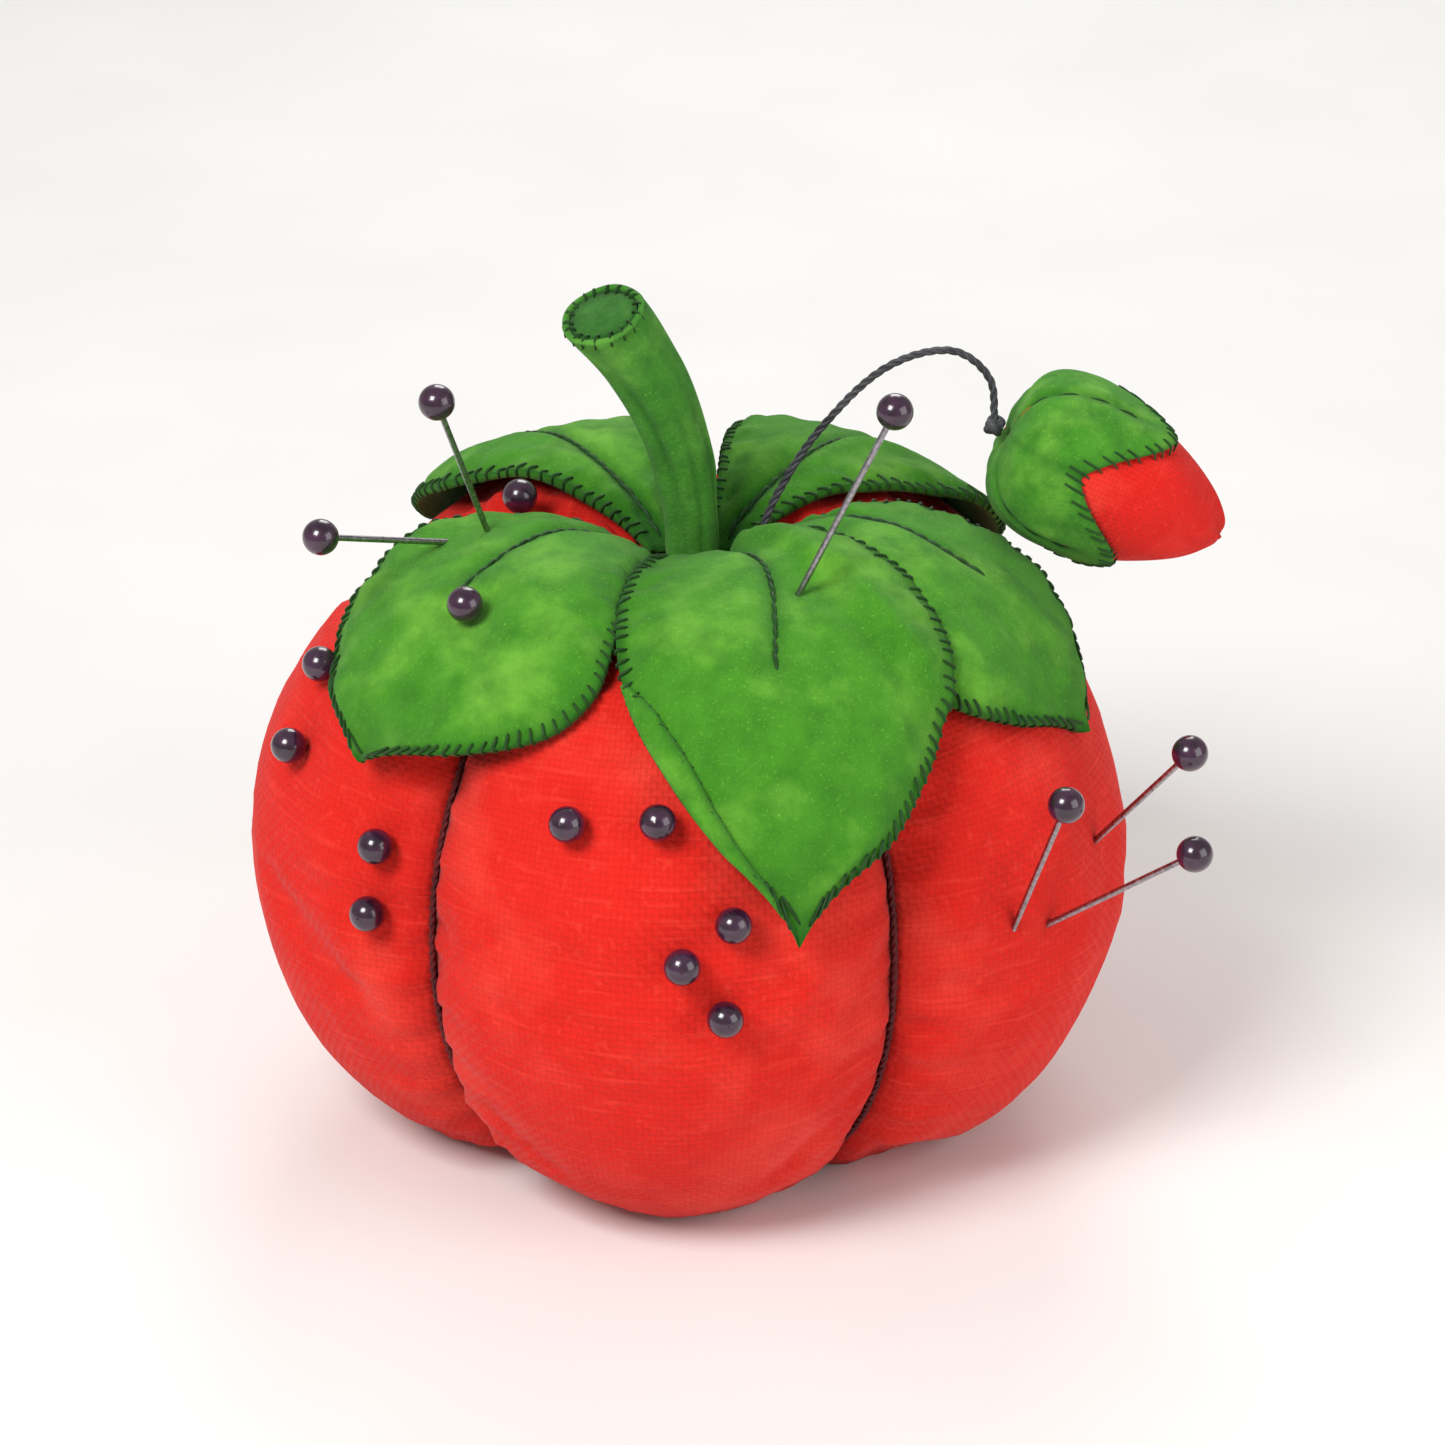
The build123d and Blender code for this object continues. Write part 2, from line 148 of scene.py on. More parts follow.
class Build:
    """Collects faces and makes one mesh object from them."""

    def __init__(self):
        self.verts = []
        self.faces = []
        self.uvs = []
        self.painted_shades = []

    def vert(self, p, uv=(0.0, 0.0), tone=0.0):
        """A point, with its place on the cloth in mm and how much painted shade darkens the cloth there."""
        self.verts.append(Vector(p) * MM)
        self.uvs.append(uv)
        self.painted_shades.append(tone)
        return len(self.verts) - 1

    def rings(self, rows, sides, place):
        """Rings of vertices: place gives a vertex's arguments for a row and an angle."""
        return [[self.vert(*place(row, a)) for a in circle(sides)] for row in rows]

    def sheet(self, rows, closed=False):
        """Faces between rows of vertices; a closed sheet joins the ends of each row."""
        for a, b in zip(rows, rows[1:]):
            for k in range(len(a) if closed else len(a) - 1):
                m = (k + 1) % len(a)
                self.faces.append((a[k], a[m], b[m], b[k]))

    def fan(self, ring, turned=False, centre=None, tone=0.0):
        """Triangles that close a ring."""
        if centre is None:
            centre = sum((self.verts[k] for k in ring), Vector()) / len(ring) / MM
        c = self.vert(centre, tone=tone)
        for a, b in zip(ring, ring[1:] + ring[:1]):
            self.faces.append((b, a, c) if turned else (a, b, c))

    def pad(self, top, under, closed=False):
        """A pad between two sheets, closed along its border."""
        self.sheet(top[::-1], closed)
        self.sheet(under, closed)
        self.sheet([top[0], under[0]], closed)
        self.sheet([under[-1], top[-1]], closed)
        if not closed:
            self.sheet([[row[0] for row in under], [row[0] for row in top]])
            self.sheet([[row[-1] for row in top], [row[-1] for row in under]])

    def tube(self, points, radius, sides=6):
        """Round tube along points; radius is a number or a list."""
        u, v = frames(points)
        runs = lengths_along(points)

        def place(i, a):
            r = radius[i] if isinstance(radius, list) else radius
            return points[i] + turned_ray(u[i], v[i], a) * r, (r * a, runs[i])

        rings = self.rings(range(len(points)), sides, place)
        self.sheet(rings, True)
        self.faces.append(tuple(reversed(rings[0])))
        self.faces.append(tuple(rings[-1]))

    def stitch(self, a, b, normal, radius, lift):
        """One stitch: a short thread that rises out of the cloth and goes back in."""
        points = []
        radii = []
        for i in range(7):
            t = i / 6
            rise = sin(pi * t)
            points.append(a.lerp(b, t) + normal * (lift * rise - radius * 0.9 * (1 - rise)))
            radii.append(radius * (0.55 + 0.45 * sin(pi * (0.12 + 0.76 * t))))
        self.tube(points, radii)

    def twisted(self, points, radius, plies, pitch, sides=6):
        """Cord of twisted plies along points."""
        u, v = frames(points)
        ply_radius = radius * (0.56 if plies == 2 else 0.52)
        for ply in range(plies):
            path = []
            for i, run in enumerate(lengths_along(points)):
                a = 2 * pi * (run / pitch + ply / plies)
                path.append(points[i] + turned_ray(u[i], v[i], a) * (radius - ply_radius))
            self.tube(path, ply_radius, sides)

    def object(self, name, material):
        mesh = bpy.data.meshes.new(name)
        mesh.from_pydata([tuple(v) for v in self.verts], [], self.faces)
        layer = mesh.uv_layers.new(name="cloth")
        for loop in mesh.loops:
            layer.data[loop.index].uv = self.uvs[loop.vertex_index]
        # Painted shade per point: how far the cloth's colour is darkened to stand in for shade.
        mesh.attributes.new("tone", "FLOAT", "POINT").data.foreach_set("value", self.painted_shades)
        mesh.validate()
        for polygon in mesh.polygons:
            polygon.use_smooth = True
        obj = bpy.data.objects.new(name, mesh)
        bpy.context.scene.collection.objects.link(obj)
        mesh.materials.append(material)
        return obj

    def piece(self, name, material, body, slot, stands_for=None, shell=0.0):
        """Makes a piece that moves with a CAD body; shell thickens open cloth inwards."""
        obj = self.object(name, material)
        if shell:
            modifier = obj.modifiers.new("shell", "SOLIDIFY")
            modifier.thickness = shell * MM
            modifier.offset = -1.0
            bpy.context.view_layer.objects.active = obj
            obj.select_set(True)
            bpy.ops.object.modifier_apply(modifier=modifier.name)
            obj.select_set(False)
        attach(obj, body)
        if stands_for:
            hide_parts(stands_for)


# ---- materials
class Nodes:
    """A material's node tree with short ways to add and join nodes."""

    SOCKETS = {
        "base": "Base Color",
        "rough": "Roughness",
        "normal": "Normal",
        "sheen": "Sheen Weight",
        "sheen_rough": "Sheen Roughness",
        "metallic": "Metallic",
        "coat": "Coat Weight",
        "coat_rough": "Coat Roughness",
        "spec": "Specular IOR Level",
    }

    def __init__(self, name):
        self.material = bpy.data.materials.new(name)
        self.material.use_nodes = True
        self.tree = self.material.node_tree
        self.shader = self.tree.nodes["Principled BSDF"]

    def feed(self, socket, value):
        """A socket takes another node's output, or a plain value."""
        if isinstance(value, bpy.types.NodeSocket):
            self.tree.links.new(value, socket)
        else:
            socket.default_value = value

    def add(self, kind, inputs=None, **settings):
        node = self.tree.nodes.new(kind)
        for key, value in settings.items():
            setattr(node, key, value)
        for key, value in (inputs or {}).items():
            self.feed(node.inputs[key], value)
        return node

    def math(self, operation, a, b=0.0):
        return self.add("ShaderNodeMath", {0: a, 1: b}, operation=operation).outputs[0]

    def times(self, a, b):
        return self.math("MULTIPLY", a, b)

    def plus(self, a, b):
        return self.math("ADD", a, b)

    def minus(self, a, b):
        return self.math("SUBTRACT", a, b)

    def above(self, value, limit, gain):
        """How far a value is over a limit, times a gain; 0 below it."""
        return self.math("MAXIMUM", self.times(self.minus(value, limit), gain), 0.0)

    def mix(self, factor, a, b):
        return self.add("ShaderNodeMix", {0: factor, 6: a, 7: b}, data_type="RGBA").outputs[2]

    def ramp(self, factor, stops):
        node = self.add("ShaderNodeValToRGB", {0: factor})
        ramp = node.color_ramp
        while len(ramp.elements) < len(stops):
            ramp.elements.new(0.5)
        for element, (position, colour) in zip(ramp.elements, stops):
            element.position = position
            element.color = (*colour, 1)
        return node.outputs[0]

    def place(self):
        return self.add("ShaderNodeTexCoord").outputs["Object"]

    def cloth_place(self, scale=(1.0, 1.0, 1.0), rotation=(0, 0, 0)):
        uv = self.add("ShaderNodeUVMap", uv_map="cloth").outputs[0]
        return self.add("ShaderNodeMapping", {"Vector": uv, "Scale": scale, "Rotation": rotation}).outputs[0]

    # Reads the painted shade: how far the colour is darkened to stand in for shade.
    def tone(self):
        return self.add("ShaderNodeAttribute", attribute_name="tone").outputs["Fac"]

    def noise(self, scale_mm, detail=3.0, roughness=0.55):
        inputs = {"Vector": self.place(), "Scale": 1 / (scale_mm * MM), "Detail": detail}
        return self.add("ShaderNodeTexNoise", {**inputs, "Roughness": roughness}).outputs[0]

    def streaks(self, vector, detail):
        return self.add("ShaderNodeTexNoise", {"Vector": vector, "Scale": 1.0, "Detail": detail}).outputs[0]

    def bump(self, height, strength, distance_mm, normal=None):
        inputs = {"Height": height, "Strength": strength, "Distance": distance_mm * MM}
        if normal:
            inputs["Normal"] = normal
        return self.add("ShaderNodeBump", inputs).outputs[0]

    def set(self, **values):
        for key, value in values.items():
            self.feed(self.shader.inputs[self.SOCKETS[key]], value)


def weave_height(n, yarn_mm):
    """Height of a plain weave, from the cloth's own coordinates in mm."""
    parts = n.add("ShaderNodeSeparateXYZ", {0: n.cloth_place()})
    wobble = n.times(n.noise(6.0, 2.0), 0.8)
    u, v = [n.plus(n.times(parts.outputs[k], 1 / yarn_mm), wobble) for k in (0, 1)]
    warp, weft = [n.math("ABSOLUTE", n.math("SINE", n.times(w, pi))) for w in (u, v)]
    vector = n.add("ShaderNodeCombineXYZ", {0: u, 1: v, 2: 0.5}).outputs[0]
    over = n.add("ShaderNodeTexChecker", {"Vector": vector, "Scale": 1.0}).outputs["Fac"]
    return n.plus(n.times(warp, over), n.times(weft, n.minus(1.0, over)))


def cotton(name, dark, mid, light, yarn_mm=0.62, patch_mm=17.0):
    """Woven cotton in soft, uneven colour with slubs and worn spots, darkened with painted shade where the
    mesh's painted shade attribute says so.
    """
    n = Nodes(name)
    dark4, light4 = (*dark, 1), (*light, 1)
    tone = n.tone()
    fine = n.noise(2.2)
    weave = weave_height(n, yarn_mm)
    base = n.ramp(n.noise(patch_mm, 4.0), [(0.32, mid), (0.50, mid), (0.72, light)])
    # Darkening: random fine noise, painted shade from the mesh, and the low parts of the weave.
    for shade in (n.times(fine, 0.35), n.times(tone, 0.9), n.times(n.minus(1.0, weave), 0.25)):
        base = n.mix(shade, base, dark4)
    slub = n.streaks(n.cloth_place((0.12, 1.5, 1.0)), 3.0)
    slub = n.times(n.math("GREATER_THAN", slub, 0.60), n.minus(slub, 0.55))
    worn = n.times(n.above(n.noise(1.1, 5.0), 0.56, 2.2), n.minus(1.0, tone))
    for shine in (n.times(slub, 1.6), worn):
        base = n.mix(shine, base, light4)
    relief = n.plus(weave, n.times(slub, 3.0))
    soft = n.bump(n.noise(5.0, 4.0), 0.4, 0.7)
    n.set(base=base, rough=n.plus(0.74, n.times(fine, 0.22)), normal=n.bump(relief, 0.42, 0.14, soft))
    n.set(sheen=0.05, sheen_rough=0.5, spec=0.13)
    return n.material


def felt(name, dark, mid, light, patch_mm=9.0, fibre_mm=0.5):
    """Pressed wool felt with short fibres, flecks and patchy colour, darkened with painted shade where the
    mesh says so.
    """
    n = Nodes(name)
    fibres = n.noise(fibre_mm, 5.0, 0.75)
    base = n.ramp(n.noise(patch_mm, 4.0), [(0.30, mid), (0.48, mid), (0.68, light)])
    base = n.mix(n.above(n.noise(patch_mm * 0.45), 0.42, 1.5), base, (*dark, 1))
    base = n.mix(n.times(fibres, 0.4), base, (*dark, 1))
    base = n.mix(n.above(n.noise(fibre_mm * 0.6, 2.0), 0.60, 4.0), base, (*light, 1))
    # Painted shade from the mesh darkens the felt.
    base = n.mix(n.times(n.tone(), 0.95), base, (*dark, 1))
    soft = n.bump(n.noise(2.6), 0.4, 0.5)
    n.set(base=base, rough=n.plus(0.82, n.times(fibres, 0.16)), normal=n.bump(fibres, 0.7, 0.3, soft))
    n.set(sheen=0.06, sheen_rough=0.6, spec=0.1)
    return n.material


def thread(name, dark, light, gloss=0.55):
    """Spun thread: fine slanting fibres along each ply."""
    n = Nodes(name)
    fibre = n.streaks(n.cloth_place((9.0, 1.6, 1.0), (0, 0, 0.5)), 4.0)
    base = n.ramp(n.times(n.plus(fibre, n.noise(4.0, 2.0)), 0.5), [(0.35, dark), (0.65, light)])
    n.set(base=base, rough=gloss, normal=n.bump(fibre, 0.5, 0.08), sheen=0.04, spec=0.22)
    return n.material


def glossy_ball(name, dark, light):
    """Moulded ball head: glossy, with a faint mottle and fine handling marks."""
    n = Nodes(name)
    marks = n.noise(0.35, 5.0)
    n.set(base=n.ramp(n.noise(1.6), [(0.35, dark), (0.7, light)]), rough=n.plus(0.16, n.times(marks, 0.12)))
    n.set(normal=n.bump(marks, 0.06, 0.05), coat=0.5, coat_rough=0.08, spec=0.5)
    return n.material


def steel(name, dark, light):
    """Drawn steel wire with fine streaks."""
    n = Nodes(name)
    streak = n.noise(0.5, 4.0)
    n.set(base=n.ramp(streak, [(0.3, dark), (0.7, light)]), metallic=1.0)
    n.set(rough=n.plus(0.22, n.times(streak, 0.16)), normal=n.bump(streak, 0.1, 0.04))
    return n.material


def grains(name, dark, light, grain_mm):
    """Loose stuffing or powder."""
    n = Nodes(name)
    inputs = {"Vector": n.place(), "Scale": 1 / (grain_mm * MM)}
    cell = n.add("ShaderNodeTexVoronoi", inputs).outputs["Distance"]
    base = n.ramp(cell, [(0.1, light), (0.7, dark)])
    n.set(base=base, rough=0.9, normal=n.bump(cell, 0.6, grain_mm * 0.5))
    return n.material


DEEP_RED = (0.36, 0.006, 0.004)
RED = cotton("red_cotton", DEEP_RED, (0.72, 0.018, 0.010), (0.86, 0.060, 0.038))
BERRY_RED = cotton("strawberry_cotton", DEEP_RED, (0.72, 0.016, 0.010), (0.84, 0.045, 0.03), 0.5, 8.0)
LEAF = felt("leaf_felt", (0.014, 0.105, 0.006), (0.072, 0.300, 0.016), (0.175, 0.470, 0.042))
STEM = felt("stem_felt", (0.014, 0.100, 0.010), (0.066, 0.270, 0.024), (0.145, 0.400, 0.050), 7.0)
STEM_END = felt("stem_end_felt", (0.012, 0.075, 0.010), (0.040, 0.170, 0.022), (0.070, 0.250, 0.035), 4.0)
CALYX = felt("calyx_felt", (0.014, 0.110, 0.008), (0.072, 0.300, 0.020), (0.175, 0.450, 0.048), 6.0)
BASE_FELT = felt("base_felt", (0.016, 0.080, 0.010), (0.040, 0.190, 0.020), (0.070, 0.250, 0.030), 6.0)
SEAM_THREAD = thread("seam_thread", (0.040, 0.002, 0.004), (0.120, 0.008, 0.010))
LEAF_THREAD = thread("leaf_thread", (0.006, 0.032, 0.005), (0.016, 0.075, 0.010))
CORD = thread("waxed_cord", (0.018, 0.018, 0.022), (0.090, 0.090, 0.100), 0.4)
HEAD = glossy_ball("pin_head", (0.016, 0.004, 0.014), (0.050, 0.014, 0.042))
STEEL = steel("pin_steel", (0.20, 0.18, 0.20), (0.45, 0.42, 0.45))
STUFFING = grains("stuffing", (0.55, 0.45, 0.30), (0.85, 0.78, 0.62), 0.8)
EMERY = grains("emery", (0.02, 0.02, 0.02), (0.12, 0.11, 0.11), 0.3)


# ---- where the pins are
def box_centre(node):
    low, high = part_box(node)
    return (low + high) / 2 / MM


# Centre of each pin's head, and the way out along its shank.
PINS = []
for joint in frame["joints"]:
    if joint["name"].endswith("_slide"):
        PINS.append((box_centre(joint["child"] + "_head"), Vector(joint["axis"]).normalized()))
PIN_LENGTH = 30.0
SHANK_CLEAR = 2.2
DENT_RADIUS = 1.9


def near_pin(p, reach=5.0):
    """0 at a pin's shank or under its head, 1 away from all of them, with how deep the cloth dips."""
    free = 1.0
    dip = 0.0
    for head, axis in PINS:
        along = (head - p).dot(axis)
        if -2.5 < along < PIN_LENGTH:
            off = (head - p - axis * along).length
            free = min(free, smooth((off - SHANK_CLEAR) / reach))
            dip = max(dip, 1 - smooth(off / DENT_RADIUS))
    return free, dip


# ---- body
COLUMNS = 24
ROWS = 64
TOP_END = 3.6
BOTTOM_END = 8.4
GORE_LENGTH = 118.0


def lobe_section(turn):
    """Ellipse that a lobe shows in the upright plane at a turn from its middle."""
    t = radians(turn)
    across = sqrt(LOBE_RADIUS**2 - (LOBE_OFFSET * sin(t)) ** 2)
    return LOBE_OFFSET * cos(t), across, LOBE_HALF_HEIGHT * across / LOBE_RADIUS


def lobe_point(azimuth, turn, share, shrink=0.0):
    """Point on a lobe and its normal: share runs from the bottom end to the top end."""
    middle, across, up = lobe_section(turn)
    low = -acos((BOTTOM_END - middle) / across)
    high = acos((TOP_END - middle) / across)
    a = low + (high - low) * share
    out = at(azimuth + turn, 1)
    normal = (out * (cos(a) / across) + UP * (sin(a) / up)).normalized()
    p = out * (middle + across * cos(a)) + UP * (LOBE_HEIGHT + up * sin(a))
    return p - normal * shrink, normal


def column_turn(j, columns):
    return -HALF_SECTOR + 2 * HALF_SECTOR * j / columns


CLOTH = {
    "quality": 6,
    "mass": 0.15,
    "tension_stiffness": 12,
    "compression_stiffness": 12,
    "shear_stiffness": 6,
    "bending_stiffness": 0.15,
    "vertex_group_mass": "held",
    "use_pressure": True,
}


def simulate(obj, pinned, pressure, growth, steps=20):
    """Blows a closed piece up with Blender's cloth, with some vertices held, and gives the new points."""
    group = obj.vertex_groups.new(name="held")
    group.add(pinned, 1.0, "REPLACE")
    modifier = obj.modifiers.new("cloth", "CLOTH")
    settings = modifier.settings
    for key, value in CLOTH.items():
        setattr(settings, key, value)
    settings.uniform_pressure_force = pressure
    settings.shrink_min = -growth
    settings.effector_weights.gravity = 0
    modifier.collision_settings.use_collision = False
    modifier.collision_settings.use_self_collision = False
    scene = bpy.context.scene
    modifier.point_cache.frame_start = 1
    modifier.point_cache.frame_end = steps
    for number in range(1, steps + 1):
        scene.frame_set(number)
    graph = bpy.context.evaluated_depsgraph_get()
    moved = [v.co.copy() / MM for v in obj.evaluated_get(graph).data.vertices]
    scene.frame_set(1)
    return moved


def body_grid():
    """Body points as {(lobe, row, column): point}, puffed by the cloth simulation."""
    count = len(LOBES)
    build = Build()
    index = {}
    for k, name in enumerate(LOBES):
        for i in range(ROWS + 1):
            for j in range(COLUMNS):
                inset = 0.8 * sin(pi * j / COLUMNS)
                p, _ = lobe_point(LOBE_AZIMUTHS[name], column_turn(j, COLUMNS), i / ROWS, inset)
                index[k, i, j] = build.vert(p)
    for k in range(count):
        for i in range(ROWS + 1):
            index[k, i, COLUMNS] = index[(k + 1) % count, i, 0]
    for k in range(count):
        build.sheet([[index[k, i, j] for j in range(COLUMNS + 1)] for i in range(ROWS + 1)])
    points = [v / MM for v in build.verts]
    for i in (0, ROWS):
        build.fan([index[k, i, j] for k in range(count) for j in range(COLUMNS)], i == 0)
    held = {index[k, i, j] for k, i, j in index if j in (0, COLUMNS) or i in (0, ROWS)}
    cloth = build.object("body_cloth", RED)
    points = simulate(cloth, sorted(held), pressure=4.0, growth=0.05)
    bpy.data.objects.remove(cloth)
    return {key: points[value] for key, value in index.items()}


def pucker(seam, run):
    """Height of the gathers along a seam, the same on both its sides."""
    fine = sin(run / 0.74 + seam * 1.7) + 0.6 * sin(run / 0.43 + seam * 2.9)
    return fine + 0.5 * sin(run / 1.9 + seam * 0.6)


def make_cover():
    """The five gores, each a shell between its seams, from the simulated points."""
    grid = body_grid()
    fine = 2
    rows, columns = ROWS * fine, COLUMNS * fine
    for k, name in enumerate(LOBES):
        azimuth = LOBE_AZIMUTHS[name]
        build = Build()
        sheet = []
        for i in range(rows + 1):
            line = []
            run = i / rows * GORE_LENGTH
            i0 = min(i // fine, ROWS - 1)
            for j in range(columns + 1):
                j0 = min(j // fine, COLUMNS - 1)
                s, t = i / fine - i0, j / fine - j0
                turn = column_turn(j, columns)
                design, normal = lobe_point(azimuth, turn, i / rows)
                radius = design.to_2d().length
                low = grid[k, i0, j0].lerp(grid[k, i0, j0 + 1], t)
                high = grid[k, i0 + 1, j0].lerp(grid[k, i0 + 1, j0 + 1], t)
                shift = (low.lerp(high, s) - design).dot(normal)
                shift = max(-1.0, min(1.3, shift))
                edge = min(j, columns - j)
                from_seam = radians(2 * HALF_SECTOR * edge / columns) * max(radius, 4.0)
                seam = k if j < columns / 2 else (k + 1) % len(LOBES)
                shift += 0.55 * exp(-from_seam / 4.5) * (1 - exp(-from_seam / 0.9)) * pucker(seam, run)
                dents = sin(design.x * 0.21 + k) * sin(design.z * 0.17 + k * 2) * sin(design.y * 0.19 + 1)
                shift += 0.28 * dents
                shift -= 0.5 * bell(from_seam / 1.6)
                gather = 1 - smooth((radius - 4) / 13)
                shift += 0.55 * gather * sin(radians(turn + azimuth) * 55)
                free, dip = near_pin(design)
                p = design + normal * (shift * free - 0.32 * dip)
                p.z = max(p.z, 0.0)
                # Painted shade: darker near the seams in the grooves, in the gathers at the crown, in the pin
                # dents and towards the bottom.
                tone = 0.75 * exp(-from_seam / 1.5) + 0.25 * exp(-from_seam / 6) + 0.5 * gather + 0.4 * dip
                tone += 0.35 * (1 - smooth(design.z / 14))
                line.append(build.vert(p, (radians(turn) * 40, run), min(1.0, tone)))
            sheet.append(line)
        build.sheet(sheet)
        build.piece("gore_cover_" + name, RED, "cushion", "red_cotton", "cover_gore_" + name, shell=0.9)


def make_filling():
    """Stuffing, a little inside the cover."""
    build = Build()
    rows, columns = 40, 14
    rings = []
    for i in range(rows + 1):
        ring = []
        for azimuth in LOBE_AZIMUTHS.values():
            for j in range(columns):
                p, normal = lobe_point(azimuth, column_turn(j, columns), i / rows, 2.6)
                p = p + normal * (0.35 * sin(p.x * 0.9) * sin(p.y * 1.1) * sin(p.z * 0.8))
                p.z = max(p.z, 1.6)
                ring.append(build.vert(p))
        rings.append(ring)
    build.sheet(rings, True)
    build.fan(rings[0], True)
    build.fan(rings[-1])
    build.piece("wool_filling", STUFFING, "cushion", "stuffing", "filling")


def make_seams():
    """Twisted threads pulled tight in the grooves."""
    build = Build()
    middle, across, up = lobe_section(HALF_SECTOR)
    lift = 0.05
    end = acos((1.6 - middle) / across)
    for azimuth in LOBE_AZIMUTHS.values():
        out = at(azimuth + HALF_SECTOR, 1)
        path = []
        for i in range(221):
            a = -end + 2 * end * i / 220
            path.append(out * (middle + (across + lift) * cos(a)) + UP * (LOBE_HEIGHT + (up + lift) * sin(a)))
        build.twisted(path, 0.45, 2, 2.2)
    build.piece("seam_threads", SEAM_THREAD, "cushion", "tie_thread", "groove_threads")


make_cover()
make_filling()
make_seams()

# ---- leaves
LEAF_ROOT = 5.2
ROOT_HEIGHT = 1.3
# The front leaf lies over its neighbours: how high it is lifted, and how far outside them it starts to rise.
OVERLAPS = {"right": (2.1, 2.5), "left": (0.9, 2.0)}
# Where each leaf's waves start, how far its tip curls up and how far its midrib sweeps to the side.
LEAF_LOOK = {
    "front": (1.0, 1.5, 3.6),
    "right": (2.3, 0.8, 3.0),
    "back_right": (3.1, 1.2, -1.5),
    "back_left": (4.7, 1.2, 1.5),
    "left": (5.9, 1.0, -3.2),
}


def dome(radius, offset):
    """Radius and height at an offset from the crests of the lobes, in an upright plane through the stem."""
    share = max(-1.0, min(1.0, (radius - LOBE_OFFSET) / LOBE_RADIUS))
    z = LOBE_HEIGHT + LOBE_HALF_HEIGHT * sqrt(max(0.0, 1 - share * share))
    slope = ((radius - LOBE_OFFSET) / LOBE_RADIUS**2, (z - LOBE_HEIGHT) / LOBE_HALF_HEIGHT**2)
    normal = Vector(slope).normalized()
    return radius + normal.x * offset, z + normal.y * offset


def spline_value(points, x):
    """Smooth curve through (x, y) points, with slopes taken from their neighbours."""
    last = len(points) - 1
    k = 1
    while k < last and x > points[k][0]:
        k += 1
    x0, y0 = points[k - 1]
    x1, y1 = points[k]
    slopes = []
    for q in (k - 1, k):
        a, b = points[max(q - 1, 0)], points[min(q + 1, last)]
        slopes.append((b[1] - a[1]) / (b[0] - a[0]))
    d = x1 - x0
    t = (x - x0) / d
    start = (2 * t**3 - 3 * t**2 + 1) * y0 + (t**3 - 2 * t**2 + t) * d * slopes[0]
    return start + (-2 * t**3 + 3 * t**2) * y1 + (t**3 - t**2) * d * slopes[1]


def leaf_half(name, radius, side):
    """Half width of a leaf at a distance out along its midrib, on one side."""
    widths = LEAF_HALF_WIDTHS[name][1 if side > 0 else 0]
    points = [(0.0, 1.4)] + list(zip(LEAF_SHARES, widths)) + [(1.0, 0.0)]
    return max(0.0, spline_value(points, min(1.0, radius / LEAVES[name][1])))


def leaf_flat(name, radius, side):
    azimuth = LEAVES[name][0]
    return at(azimuth, radius) + at(azimuth + 90, side)


def leaf_place(name, radius, side, offset):
    """Point on or over a leaf: distance out along its midrib, distance to the side, and lift."""
    flat = leaf_flat(name, radius, side)
    r = flat.length
    new_r, z = dome(r, offset)
    return flat * (new_r / max(r, 1e-6)) + UP * z


def leaf_normal(name, radius, side):
    return (leaf_place(name, radius, side, 1.0) - leaf_place(name, radius, side, 0.0)).normalized()


def inside_leaf(name, place):
    """How far a place, seen from above, is inside a leaf's outline; negative outside it."""
    azimuth, tip = LEAVES[name]
    radius = place.dot(at(azimuth, 1))
    side = place.dot(at(azimuth + 90, 1))
    return min(leaf_half(name, radius, side) - abs(side), (tip - radius) * 0.7)


def overlap_lift(name, radius, side):
    """How far the front leaf is lifted where it lies over a neighbour."""
    if name != "front":
        return 0.0
    place = leaf_flat(name, radius, side)
    lifts = []
    for other, (height, spread) in OVERLAPS.items():
        lifts.append(height * smooth((inside_leaf(other, place) + spread) / spread))
    return max(lifts)


def under_front(name, radius, side):
    """1 where a neighbour is hidden under the front leaf, 0 where it's free."""
    if name not in OVERLAPS:
        return 0.0
    return smooth((inside_leaf("front", leaf_flat(name, radius, side)) + 0.4) / 2.2)


def under_strawberry(name, radius, side):
    """1 where the strawberry passes close over a leaf, 0 elsewhere."""
    place = leaf_flat(name, radius, side)
    azimuth = degrees(atan2(place.x, -place.y))
    return smooth((azimuth - 70) / 8) * smooth((132 - azimuth) / 8) * smooth((place.length - 17) / 6)


def leaf_lift(name, radius, side):
    """How far a leaf's underside stands off the crests of the lobes."""
    seed, curl, _ = LEAF_LOOK[name]
    share = radius / LEAVES[name][1]
    v = max(-1.0, min(1.0, side / max(leaf_half(name, radius, side), 0.01)))
    wave = 0.5 * sin(radius * 0.36 + seed * 3) * abs(v) ** 3 + 0.2 * sin(v * 4 + radius * 0.25 + seed)
    lift = 0.4 + wave * smooth((share - 0.15) / 0.3)
    lift += curl * smooth((share - 0.84) / 0.16) ** 1.5
    if name == "front":
        along = smooth((share - 0.66) / 0.16) * (1 - smooth((share - 0.9) / 0.1))
        lift += 1.3 * smooth((-v - 0.6) / 0.4) * along
    hidden = under_front(name, radius, side)
    return max(0.15, lift) * (1 - hidden) + 0.1 * hidden + overlap_lift(name, radius, side)


def midrib_side(name, radius):
    """Sideways sweep of the midrib."""
    return LEAF_LOOK[name][2] * sin(pi * min(1.0, radius / LEAVES[name][1] / 0.8)) ** 1.3


